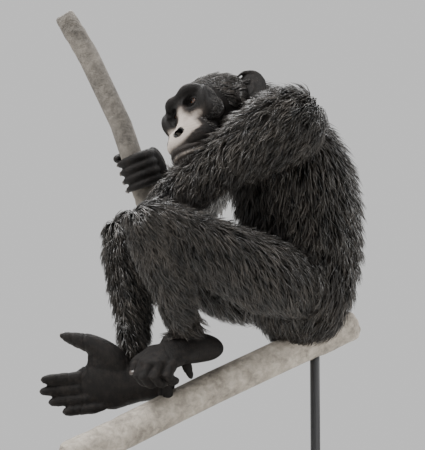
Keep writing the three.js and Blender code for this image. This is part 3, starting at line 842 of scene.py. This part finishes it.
def painted_steel():
    """Black satin powder paint on steel, with a faint orange-peel texture."""
    material, tree, output = new_material("painted_steel")
    place = add_node(tree, "ShaderNodeTexCoord").outputs["Object"]
    peel = add_node(tree, "ShaderNodeTexNoise", Vector=place, Scale=900.0, Detail=2.0).outputs["Fac"]
    bump = add_node(tree, "ShaderNodeBump", Strength=0.12, Distance=0.0003, Height=peel).outputs["Normal"]
    rough = add_node(tree, "ShaderNodeMapRange", Value=peel, To_Min=0.34, To_Max=0.46).outputs["Result"]
    finish_material(tree, output, linear("#1C1C1E"), rough, bump)
    return material


def stained_board():
    """Dark stained oak board: grain along its length under a satin lacquer."""
    material, tree, output = new_material("stained_oak")
    place = add_node(tree, "ShaderNodeTexCoord").outputs["Object"]
    lie = add_node(tree, "ShaderNodeMapping", Vector=place, Scale=(60.0, 4.0, 60.0)).outputs["Vector"]
    grain = add_node(tree, "ShaderNodeTexNoise", Vector=lie, Scale=2.2, Detail=8.0, Roughness=0.6).outputs["Fac"]
    ramp = two_tone(tree, grain, "#2A2622", "#57504A", 0.35, 0.7)
    bump = add_node(tree, "ShaderNodeBump", Strength=0.15, Distance=0.0006, Height=grain).outputs["Normal"]
    finish_material(tree, output, ramp.outputs["Color"], 0.4, bump)
    return material


# The coat
COAT_SEED = 11
ROOT_DEPTH = 0.002  # how deep a tuft starts below the skin, in metres
SKIN_REACH = 0.05  # how far from the skin a tuft may be while it grows
HEAD_REACH = 0.09  # how far from the skin a tuft of the head may start
FIRST_STEP, NEXT_STEP = 0.36, 0.33  # shares of a tuft's length from each ring to the next
BLADE_SHARES = (0.36, 0.7, 1.0)  # where along a tuft its rings and its tip lie
BLADE_TAPER = (1.0, 0.92, 0.6)
BLADE_VERTICES = 10
BLADE_TONES = (0.7, 0.7, 0.7, 0.9, 0.9, 0.9, 1.0, 1.0, 1.0, 1.15)
PATCH = 0.003  # width of a tuft's patch on the OFBake map
MAP_CELLS = 4  # the OFBake map has this many cells a side, one for each coat
CELL_MARGIN = 0.06


def blade_faces():
    """The triangles of one tuft: a root cap, two bands of three sides and the tip."""
    faces = [(0, 1, 2)]
    for k in (0, 3):
        for a, b in ((0, 1), (1, 2), (2, 0)):
            faces += [(k + a, k + 3 + a, k + 3 + b), (k + a, k + 3 + b, k + b)]
    return np.array(faces + [(6, 9, 7), (7, 9, 8), (8, 9, 6)])


def map_cell(column, row, across, up):
    """Places in one cell of the OFBake map, from shares across and up the unwrapped form."""
    inner = 1 - 2 * CELL_MARGIN
    return np.column_stack(
        [(column + CELL_MARGIN + inner * across) / MAP_CELLS, (row + CELL_MARGIN + inner * up) / MAP_CELLS]
    )


class CoatField:
    """Grows tufts over the skin. Each tuft is a closed tapered blade that bends along the lie."""

    def __init__(self, skin_mesh, seed, density):
        places = [vertex.co[:] for vertex in skin_mesh.vertices]
        self.tree = BVHTree.FromPolygons(places, [polygon.vertices[:] for polygon in skin_mesh.polygons])
        self.random = np.random.default_rng(seed)
        self.density = density

    def on_skin(self, points, reach):
        """The nearest skin point and normal of each point, and whether one lies within reach."""
        places, normals, near = np.array(points), np.zeros_like(points), np.zeros(len(points), bool)
        for i, point in enumerate(points):
            place, normal, _, _ = self.tree.find_nearest(Vector(point), reach)
            if place is not None:
                places[i], normals[i], near[i] = place, normal, True
        return places, normals, near

    def blades(self, roots, normals, lie, length, width, lift, cell, wander=0.7):
        """Vertices, faces, lock values and map places of tufts that start at roots."""
        n, rnd = len(roots), self.random
        flow = unit(lie - normals * np.sum(lie * normals, axis=1)[:, None])
        side = np.cross(flow, normals)
        bend = np.sin(roots @ np.array((-70.0, 120.0, 150.0)))
        wave = np.sin(roots @ np.array((210.0, -160.0, 90.0)) + 2.0 * bend)
        second = np.sin(roots @ np.array((-330.0, 210.0, 260.0)) + 1.7)
        swing = wander * (0.22 * wave + 0.16 * second + rnd.normal(0, 0.13, n))
        flow = unit(flow + side * swing[:, None])
        side = np.cross(flow, normals)
        swell = np.sin(roots @ np.array((150.0, 260.0, -190.0)) + wave)
        raised = lift * (0.55 + 0.45 * swell + rnd.uniform(0, 0.5, n))
        rings = [roots - normals * ROOT_DEPTH]
        ring_normals = [normals]
        point, way = roots, flow
        step = length * FIRST_STEP
        for share in BLADE_SHARES:
            point = point + way * step[:, None]
            place, normal, near = self.on_skin(point, SKIN_REACH)
            normal = np.where(near[:, None], normal, ring_normals[-1])
            place = np.where(near[:, None], place, point)
            along_skin = way - normal * np.sum(way * normal, axis=1)[:, None]
            way = unit(along_skin + side * (0.25 * swing)[:, None])
            rings.append(place + normal * (raised * share**0.75)[:, None])
            ring_normals.append(normal)
            point = place
            step = length * NEXT_STEP
        vertices = np.empty((n, BLADE_VERTICES, 3))
        for k, taper in enumerate(BLADE_TAPER):
            along = unit(rings[k + 1] - rings[k])
            across = unit(np.cross(along, ring_normals[k]))
            out = np.cross(across, along)
            half = (width * taper / 2)[:, None]
            vertices[:, 3 * k] = rings[k] + across * half
            vertices[:, 3 * k + 1] = rings[k] - across * half
            vertices[:, 3 * k + 2] = rings[k] + out * half * 0.8
        vertices[:, 9] = rings[3]
        faces = (np.arange(n)[:, None, None] * BLADE_VERTICES + blade_faces()[None]).reshape(-1, 3)
        tone = np.clip(0.5 + 0.2 * second + rnd.normal(0, 0.22, n), 0, 1)
        lock = tone[:, None] * np.array(BLADE_TONES)[None]
        patch = PATCH / 2 * np.array([(-1, -1), (1, -1), (0, 1)] * 3 + [(0, 0)])
        places = cell[:, None, :] + patch[None]
        return vertices.reshape(-1, 3), faces, lock.ravel(), places.reshape(-1, 2)


def coat_mesh(name, blades):
    """One mesh of many closed blades, with its lock values and its OFBake map."""
    starts = np.cumsum([0] + [len(b[0]) for b in blades[:-1]])
    vertices = np.concatenate([b[0] for b in blades])
    vertices = np.clip(vertices, np.array(CAD_BOX[0]) + MM, np.array(CAD_BOX[1]) - MM)
    faces = np.concatenate([b[1] + start for b, start in zip(blades, starts)])
    lock = np.concatenate([b[2] for b in blades])
    places = np.concatenate([b[3] for b in blades])
    mesh = bpy.data.meshes.new(name)
    mesh.vertices.add(len(vertices))
    mesh.loops.add(faces.size)
    mesh.polygons.add(len(faces))
    mesh.vertices.foreach_set("co", vertices.ravel())
    mesh.loops.foreach_set("vertex_index", faces.ravel().astype(np.int32))
    mesh.polygons.foreach_set("loop_start", np.arange(0, faces.size, 3, dtype=np.int32))
    mesh.polygons.foreach_set("use_smooth", np.ones(len(faces), bool))
    mesh.update(calc_edges=True)
    layer = mesh.uv_layers.new(name="OFBake")
    layer.data.foreach_set("uv", places[faces.ravel()].ravel())
    set_float(mesh, "lock", np.clip(lock, 0, 1))
    mesh.validate()
    return mesh


DOWN = np.array((0.0, 0.12, -1.0))
OUT_FROM_BODY = 0.012  # a form's point farther than this from the skin gets no tuft
LEAST_RING = 0.12  # share of the full girth under which a form's ends get no tuft
# Each coat: form, number of tufts, shares of the form it covers, length, width and lift in mm, and its lie
COATS = {
    "chest": ("trunk", 10400, (0.40, 0.97), (46, 4.2, 23), "down"),
    "belly": ("trunk", 9600, (0.03, 0.44), (44, 4.2, 22), "rump"),
    "neck": ("neck", 4200, (0.05, 0.95), (38, 3.6, 19), "nape"),
    "upper_arm_left": ("upper_arm_left", 12000, (0.0, 0.99), (40, 3.2, 22), "arm"),
    "upper_arm_right": ("upper_arm_right", 5200, (0.0, 1.0), (42, 4.0, 20), "along"),
    "forearm_left": ("forearm_left", 4400, (0.0, 0.97), (30, 3.4, 11), "along"),
    "forearm_right": ("forearm_right", 5200, (0.0, 0.97), (36, 3.6, 15), "along"),
    "thigh_left": ("thigh_left", 11000, (0.06, 1.0), (34, 3.2, 15), "thigh"),
    "thigh_right": ("thigh_right", 6400, (0.06, 1.0), (34, 3.8, 15), "thigh"),
    "shin_left": ("shin_left", 8400, (0.0, 0.99), (34, 3.0, 14), "shin"),
    "shin_right": ("shin_right", 6200, (0.0, 0.99), (34, 3.3, 14), "shin"),
}
# The head's two coats: number of tufts, the egg that they start from, length, width and lift in mm
HEAD_COATS = {
    "crown": (8800, (100, 80, 80), (0, 0, 5), (21, 1.9, 4.0)),
    "beard": (1000, (70, 60, 60), (70, 0, -70), (9, 0.9, 4.0)),
}
HEAD_CELL = 3


def lie_of(kind, points, along):
    """The way the hair points at each place, in the world's axes."""
    n = len(points)
    if kind == "along":
        return along
    if kind == "arm":
        return unit(along + np.array((0.1, 0.05, -0.55)))
    if kind == "down":
        return np.tile(DOWN, (n, 1)) + np.array((0, 0.25, 0)) * (points[:, 1:2] < PELVIS.y)
    if kind == "rump":
        return np.tile(np.array((0.0, -0.25, -1.0)), (n, 1))
    if kind == "nape":
        return np.tile(np.array((0.0, 0.9, -0.45)), (n, 1))
    if kind == "thigh":
        return unit(np.tile(np.array((0.0, 0.55, -0.85)), (n, 1)))
    return unit(0.8 * along + np.array((0.0, 0.5, -0.35)))


def body_coat(field, name, index):
    """The tufts of one part of the body, sown evenly along and round its form."""
    form, count, (low, high), (length, width, lift), kind = COATS[name]
    rows, side = FORMS[form]
    rnd = field.random
    count = round(count * field.density)
    t = rnd.uniform(low, high, count)
    angle = rnd.uniform(0, 2 * math.pi, count)
    height = 1 - 2 * t
    ring = np.sqrt(np.clip(1 - np.abs(height) ** (2 / LIMB_SOFTNESS), 0, 1)) ** LIMB_SOFTNESS
    points, along = loft_surface(rows, side, t, angle, ring)
    keep = ring > LEAST_RING
    points, along, t, angle = points[keep], along[keep], t[keep], angle[keep]
    points = points * MM + np.array(PELVIS)
    roots, normals, near = field.on_skin(points, OUT_FROM_BODY)
    roots, normals, along, t, angle = (a[near] for a in (roots, normals, along, t, angle))
    n = len(roots)
    lengths = length * MM * rnd.uniform(0.7, 1.25, n)
    widths = width * MM * rnd.uniform(0.7, 1.2, n)
    cell = map_cell(index % MAP_CELLS, index // MAP_CELLS, angle / (2 * math.pi), t)
    return field.blades(roots, normals, lie_of(kind, roots, along), lengths, widths, np.full(n, lift * MM), cell)


def head_lie(zone, p):
    """Which head-frame places bear hair, and the way it points: back from the brow, or down the chin."""
    if zone == "crown":
        edge = 64 + 10 * np.sin(p[:, 1] * 0.06) + 22 * np.clip(-(p[:, 2] - 20) / 60, -1, 0.4)
        ear = (np.abs(p[:, 1]) > 76) & (p[:, 0] < 12)
        back, side, down = np.full(len(p), -1.0), 0.25 * np.sign(p[:, 1]), -0.25 - 0.6 * (p[:, 2] < 20)
        return (p[:, 0] < edge) & ~ear, np.column_stack([back, side, down])
    front, side, down = np.full(len(p), 0.1), 0.1 * np.sign(p[:, 1]), np.full(len(p), -1.0)
    return (p[:, 2] < -84) & (p[:, 0] > 30), np.column_stack([front, side, down])


def head_coat(field):
    """Hair on the crown and cheeks, swept back from the brow, and a thin beard."""
    rnd = field.random
    place = np.array(WORLD @ HEAD)
    turn = unit(place[:3, :3].T).T
    blades = []
    for zone, (count, radii, centre, (length, width, lift)) in HEAD_COATS.items():
        count = round(count * field.density)
        direction = unit(rnd.normal(0, 1, (count * 3, 3)))
        local = direction * np.array(radii) + np.array(centre)
        roots, normals, near = field.on_skin(local @ place[:3, :3].T + place[:3, 3], HEAD_REACH)
        roots, normals = roots[near], normals[near]
        p = in_frame(roots, HEAD)
        keep, lie = head_lie(zone, p)
        roots, normals, lie, p = (values[keep][:count] for values in (roots, normals, lie, p))
        n = len(roots)
        near_face = np.clip((60 - p[:, 0]) / 40, 0.3, 1) if zone == "crown" else np.ones(n)
        lengths = length * MM * near_face * rnd.uniform(0.7, 1.2, n)
        widths = width * MM * rnd.uniform(0.7, 1.2, n)
        longitude = (np.arctan2(p[:, 1], p[:, 2]) + math.pi) / (2 * math.pi)
        latitude = np.clip((p[:, 0] + 110) / 260, 0, 1)
        cell = map_cell(HEAD_CELL, HEAD_CELL, longitude, latitude)
        blades.append(field.blades(roots, normals, lie @ turn.T, lengths, widths, lift * MM * near_face, cell, 0.4))
    return blades


TOE_NAIL, HALLUX_NAIL, FINGER_NAIL = 9, 14, 10


def add_nail(bm, tip, before, palm_side, width):
    """A flattened nail over the end of a finger or toe."""
    along = (tip - before).normalized()
    back = -palm_side
    out = (back - along * back.dot(along)).normalized()
    place = frame_at(tip - along * width * 0.55 + out * width * 0.42, along, out)
    made = bmesh.ops.create_uvsphere(bm, u_segments=16, v_segments=8, radius=1.0)["verts"]
    size = Matrix.Diagonal((width * 0.6, width * 0.5, width * 0.24, 1))
    bmesh.ops.transform(bm, matrix=place @ size, verts=made)


def last_joint(rows, place):
    """The tip of a digit and the point before it."""
    return (place @ Vector(rows[k][:3]) for k in (-1, -2))


# What a user may change
class ChimpanzeeColours(bpy.types.PropertyGroup):
    hair_dark: bpy.props.StringProperty(
        name="Dark hair",
        description="Colour of the darkest hair",
        default="#080706",
    )
    hair_light: bpy.props.StringProperty(
        name="Light hair",
        description="Colour of the hair that catches the light",
        default="#4A443E",
    )
    # The eye sockets are darkened further than this colour by painted shade.
    skin_dark: bpy.props.StringProperty(
        name="Dark skin",
        description="Colour of hands, feet and eye sockets",
        default="#2A2522",
    )
    skin_pale: bpy.props.StringProperty(
        name="Pale skin",
        description="Colour of the muzzle",
        default="#8E857D",
    )
    iris: bpy.props.StringProperty(
        name="Iris",
        description="Colour of the iris",
        default="#3B2110",
    )
    eye_white: bpy.props.StringProperty(
        name="White of the eye",
        description="Colour round the iris",
        default="#2A1B12",
    )


class ChimpanzeeSizes(bpy.types.PropertyGroup):
    coat_density: bpy.props.FloatProperty(
        name="Coat density",
        description="Share of the full number of tufts",
        default=1.0,
        min=0.1,
        max=1.0,
        subtype="FACTOR",
    )
    camera_distance: bpy.props.FloatProperty(
        name="Camera distance",
        description="From the camera to the animal",
        default=4.2,
        unit="LENGTH",
    )
    picture_height: bpy.props.FloatProperty(
        name="Picture height",
        description="Height of the view at the animal",
        default=0.8775,
        unit="LENGTH",
    )


class Shared:
    """What one operator leaves for the next."""

    skin = None


SKIN_KEPT = 0.6  # share of the skin's triangles that is kept, to stay under 200,000
FLESH_NODES = (
    *("head", "ear_left", "ear_right", "neck", "chest", "belly"),
    *(f"{part}_{side}" for part in ("upper_arm", "forearm", "hand", "thigh", "shin", "foot") for side in SIDES),
)


class CHIMP_OT_skin(bpy.types.Operator):
    """Models the skin: head, trunk, limbs, hands and feet in one piece"""

    bl_idname = "chimp.skin"
    bl_label = "Skin"

    def execute(self, context):
        parts = [head_skin(), body_skin()]
        parts.append(bare_piece(add_left_hand, "hand_left_skin", LEFT_HAND, PALM_CREASES))
        parts.append(bare_piece(add_right_hand, "hand_right_skin", Matrix.Translation(GRIP), ()))
        for foot in FEET.values():
            parts.append(bare_piece(partial(add_foot, foot=foot), "foot_skin", foot["place"], SOLE_CREASES))
        mesh = applied(joined_mesh("skin", parts), ("DECIMATE", {"ratio": SKIN_KEPT}))
        shade_smooth(mesh)
        # Stores the face's paleness with its painted shade and painted highlights, for the skin's material.
        set_float(mesh, "pale_and_painted_light", pale_skin_and_painted_light(in_frame(points_of(mesh), HEAD)))
        new_object("skin", mesh, skin_material(context.scene.chimpanzee_colours), FLESH_NODES)
        Shared.skin = mesh
        return {"FINISHED"}


class CHIMP_OT_eyes(bpy.types.Operator):
    """Models the two eyes, with iris, pupil and cornea"""

    bl_idname = "chimp.eyes"
    bl_label = "Eyes"

    def execute(self, context):
        material = eye_material(context.scene.chimpanzee_colours)
        gaze = (HEAD.to_3x3() @ Vector((1, 0.05, 0.08))).normalized()
        for name, side in SIDES.items():
            bm = bmesh.new()
            made = bmesh.ops.create_icosphere(bm, subdivisions=5, radius=EYE_RADIUS)["verts"]
            values = []
            centre = HEAD @ Vector(eye_place(side))
            for vertex in made:
                facing = vertex.co.normalized().dot(gaze)
                values.append(max(0.0, facing))
                cornea = max(0.0, (facing - CORNEA_EDGE) / (1 - CORNEA_EDGE))
                vertex.co *= 1 + CORNEA_BULGE * cornea**0.8
                vertex.co += centre
            mesh = mesh_of(bm, f"eye_{name}_glass")
            spread = np.degrees(np.arccos(np.clip(np.array(values), 0, 1)))
            set_float(mesh, "gaze", np.clip(1 - spread / GAZE_SPREAD, 0, 1))
            shade_smooth(mesh)
            new_object(f"eye_{name}_glass", mesh, material, (f"eye_{name}",))
        return {"FINISHED"}


class CHIMP_OT_coat(bpy.types.Operator):
    """Grows the coat in overlapping tufts over the skin"""

    bl_idname = "chimp.coat"
    bl_label = "Coat"

    def execute(self, context):
        material = hair_material(context.scene.chimpanzee_colours)
        field = CoatField(Shared.skin, COAT_SEED, context.scene.chimpanzee_sizes.coat_density)
        for index, name in enumerate(COATS):
            mesh = coat_mesh(f"coat_{name}", [body_coat(field, name, index)])
            new_object(f"coat_{name}", mesh, material)
        new_object("coat_head", coat_mesh("coat_head", head_coat(field)), material)
        return {"FINISHED"}


class CHIMP_OT_nails(bpy.types.Operator):
    """Adds the nails of fingers and toes"""

    bl_idname = "chimp.nails"
    bl_label = "Nails"

    def execute(self, context):
        material = nail_material()
        for side, foot in FEET.items():
            bm = bmesh.new()
            place = foot["place"]
            turn = place.to_3x3()
            sole = turn @ Vector((0, 0, -1))
            axis = (turn @ Vector((1, 0, 0))).cross(sole).normalized()
            toe_sole = Matrix.Rotation(math.radians(sum(foot["toe_bend"])), 3, axis) @ sole
            for index in range(4):
                add_nail(bm, *last_joint(toe_rows(foot, index), place), toe_sole, TOE_NAIL)
            add_nail(bm, *last_joint(hallux_rows(foot), place), sole, HALLUX_NAIL)
            self.finish(bm, f"nails_foot_{side}", material)
        bm = bmesh.new()
        turn = LEFT_HAND.to_3x3()
        for index in range(4):
            tip, before = last_joint(finger_rows(index), LEFT_HAND)
            palm = -(turn @ Vector((0, 1, 0))).cross(tip - before).normalized()
            if palm.dot(turn @ Vector((-1, 0, 0))) < 0:
                palm = -palm
            add_nail(bm, tip, before, palm, FINGER_NAIL)
            tip, before = last_joint(gripping_finger(index), Matrix.Identity(4))
            add_nail(bm, tip, before, GRIP - tip, FINGER_NAIL)
        self.finish(bm, "nails_hands", material)
        return {"FINISHED"}

    def finish(self, bm, name, material):
        mesh = mesh_of(bm, name)
        shade_smooth(mesh)
        new_object(name, mesh, material)


def bough_line():
    """The bough's sections from front to rear: it slopes up and winds a little."""
    slope = math.tan(math.radians(BOUGH_SLOPE))
    radius = BOUGH_RADIUS * 0.99
    rows = []
    for y in np.linspace(BOUGH_FRONT, BOUGH_REAR, 9):
        sway, height = 5 * math.sin(y / 120), BOUGH_HEIGHT + slope * (y - LEVEL_AT) + 3 * math.cos(y / 90)
        rows.append((sway, y, height, radius, radius))
    return rows


def stem_line():
    """The stem's sections from the bottom up, thinner towards the top."""
    points = (*STEM[:-1], STEM_END)
    return [(*point, *(STEM_RADIUS * (0.98 - 0.012 * i),) * 2) for i, point in enumerate(points)]


def bark_bumps(q):
    """Heights of the bark's ridges at places in millimetres: wide, middling and narrow ones."""
    wide = np.sin(q @ np.array((0.21, 0.05, 0.17)) + 2 * np.sin(q @ np.array((0.03, 0.06, -0.05))))
    middling = np.sin(q @ np.array((-0.33, 0.09, 0.29)) + 1.5 * np.sin(q @ np.array((0.08, -0.04, 0.09))))
    narrow = np.sin(q @ np.array((0.9, 0.22, -0.7)) + 2 * np.sin(q @ np.array((0.2, 0.15, 0.1))))
    return wide + 0.6 * middling + 0.35 * narrow


class CHIMP_OT_perch(bpy.types.Operator):
    """Models the cut bough and the cut stem with their bark"""

    bl_idname = "chimp.perch"
    bl_label = "Perch"

    def execute(self, context):
        for node, line, ridge, *finish in (
            ("perch_bough", bough_line(), 1.6, "bough_bark", "#4A443C", "#A8A094", 80.0),
            ("perch_stem", stem_line(), 0.9, "stem_bark", "#2A2724", "#6E6860", 60.0),
        ):
            name = finish[0]
            bm = bmesh.new()
            add_loft(bm, line, ACROSS, 72, 220, 0.12)
            mesh = mesh_of(bm, name)
            points, normals = points_of(mesh), normals_of(mesh)
            set_points(mesh, points + normals * (ridge * 0.5 * (bark_bumps(points / MM) - 1) * MM)[:, None])
            shade_smooth(mesh)
            new_object(name, mesh, bark_material(*finish), (node,))
        return {"FINISHED"}


def round_edges(bm, edges, offset, segments):
    """Bevels some edges to a small radius."""
    bmesh.ops.bevel(
        bm,
        geom=edges,
        offset=offset,
        offset_type="OFFSET",
        segments=segments,
        profile=0.5,
        affect="EDGES",
        material=-1,
    )


class CHIMP_OT_stand(bpy.types.Operator):
    """Models the display stand: a board and two rods"""

    bl_idname = "chimp.stand"
    bl_label = "Stand"

    def execute(self, context):
        steel = painted_steel()
        for node in ("stand_rod_front", "stand_rod_rear"):
            low, high = (Vector(corner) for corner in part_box(node))
            radius = (high.x - low.x) / 2
            bm = bmesh.new()
            bmesh.ops.create_cone(
                bm, cap_ends=True, segments=48, radius1=radius, radius2=radius, depth=high.z - low.z
            )
            rims = [e for e in bm.edges if abs(e.verts[0].co.z - e.verts[1].co.z) < 1e-6]
            round_edges(bm, rims, 0.0008, 2)
            bmesh.ops.translate(bm, vec=(high + low) / 2, verts=bm.verts)
            mesh = metre_mesh(bm, node + "_steel")
            for polygon in mesh.polygons:
                polygon.use_smooth = abs(polygon.normal.z) < 0.9
            new_object(node + "_steel", mesh, steel, (node,))
        low, high = (Vector(corner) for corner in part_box("stand_base"))
        bm = bmesh.new()
        bmesh.ops.create_cube(bm, size=1.0)
        bmesh.ops.scale(bm, vec=high - low, verts=bm.verts)
        bmesh.ops.translate(bm, vec=(high + low) / 2, verts=bm.verts)
        round_edges(bm, list(bm.edges), 0.003, 3)
        new_object("stand_board", metre_mesh(bm, "stand_board"), stained_board(), ("stand_base",))
        return {"FINISHED"}


SENSOR_HEIGHT = 24
CAMERA_ANGLES = (65, -8)  # azimuth and elevation in degrees
CAMERA_AIM = (0.034, -0.111, 0.118)  # from the middle of the hips, in metres
# Each light: name, metres to the camera's right, up and towards it, width in metres and power in watts
LIGHTS = (
    ("key", (-1.4, 2.4, 0.9), 1.4, 210.0),
    ("fill", (2.0, 0.3, 2.4), 2.5, 26.0),
    ("rim", (-0.3, 2.6, -1.8), 1.4, 190.0),
    ("side", (2.7, 1.7, -0.7), 1.6, 130.0),
)


class CHIMP_OT_stage(bpy.types.Operator):
    """Sets the floor, the soft studio light and the camera"""

    bl_idname = "chimp.stage"
    bl_label = "Stage"

    def execute(self, context):
        sizes = context.scene.chimpanzee_sizes
        bm = bmesh.new()
        bmesh.ops.create_grid(bm, x_segments=1, y_segments=1, size=14.0)
        mesh = bpy.data.meshes.new("floor")
        bm.to_mesh(mesh)
        bm.free()
        floor = bpy.data.objects.new("floor", mesh)
        context.scene.collection.objects.link(floor)
        material, tree, output = new_material("studio_floor")
        finish_material(tree, output, linear("#E2E1DE"), 0.7)
        mesh.materials.append(material)

        world = bpy.data.worlds.new("studio")
        context.scene.world = world
        world.use_nodes = True
        background = world.node_tree.nodes["Background"]
        background.inputs["Color"].default_value = linear("#DEDEDE")
        background.inputs["Strength"].default_value = 1.0

        azimuth, elevation = (math.radians(angle) for angle in CAMERA_ANGLES)
        right = Vector((math.cos(azimuth), math.sin(azimuth), 0))
        level = math.cos(elevation)
        back = Vector((math.sin(azimuth) * level, -math.cos(azimuth) * level, math.sin(elevation)))
        up = back.cross(right)
        aim = PELVIS + Vector(CAMERA_AIM)
        for name, along, size, power in LIGHTS:
            data = bpy.data.lights.new(name, "AREA")
            data.size = size
            data.energy = power
            light = bpy.data.objects.new(name, data)
            context.scene.collection.objects.link(light)
            light.location = aim + right * along[0] + Vector((0, 0, 1)) * along[1] + back * along[2]
            light.rotation_euler = (aim - light.location).to_track_quat("-Z", "Y").to_euler()

        camera = bpy.data.objects.new("camera", bpy.data.cameras.new("camera"))
        context.scene.collection.objects.link(camera)
        camera.location = aim + back * sizes.camera_distance
        camera.rotation_euler = Matrix((right, up, back)).transposed().to_euler()
        camera.data.sensor_fit = "VERTICAL"
        camera.data.sensor_height = SENSOR_HEIGHT
        camera.data.lens = SENSOR_HEIGHT * sizes.camera_distance / sizes.picture_height
        camera.data.clip_end = 100
        context.scene.camera = camera
        return {"FINISHED"}


STEPS = (
    CHIMP_OT_stage,
    CHIMP_OT_skin,
    CHIMP_OT_eyes,
    CHIMP_OT_coat,
    CHIMP_OT_nails,
    CHIMP_OT_perch,
    CHIMP_OT_stand,
)


class CHIMP_PT_panel(bpy.types.Panel):
    bl_idname = "CHIMP_PT_panel"
    bl_label = "Chimpanzee"
    bl_space_type = "VIEW_3D"
    bl_region_type = "UI"
    bl_category = "Chimpanzee"

    def draw(self, context):
        layout = self.layout
        for group in (context.scene.chimpanzee_colours, context.scene.chimpanzee_sizes):
            for name in group.__annotations__:
                layout.prop(group, name)
        for step in STEPS:
            layout.operator(step.bl_idname)


CLASSES = (ChimpanzeeColours, ChimpanzeeSizes, *STEPS, CHIMP_PT_panel)


def register():
    for item in CLASSES:
        bpy.utils.register_class(item)
    bpy.types.Scene.chimpanzee_colours = bpy.props.PointerProperty(type=ChimpanzeeColours)
    bpy.types.Scene.chimpanzee_sizes = bpy.props.PointerProperty(type=ChimpanzeeSizes)


def unregister():
    del bpy.types.Scene.chimpanzee_sizes
    del bpy.types.Scene.chimpanzee_colours
    for item in reversed(CLASSES):
        bpy.utils.unregister_class(item)


def main():
    register()
    for step in STEPS:
        group, name = step.bl_idname.split(".")
        getattr(getattr(bpy.ops, group), name)()


if __name__ == "__main__":
    main()
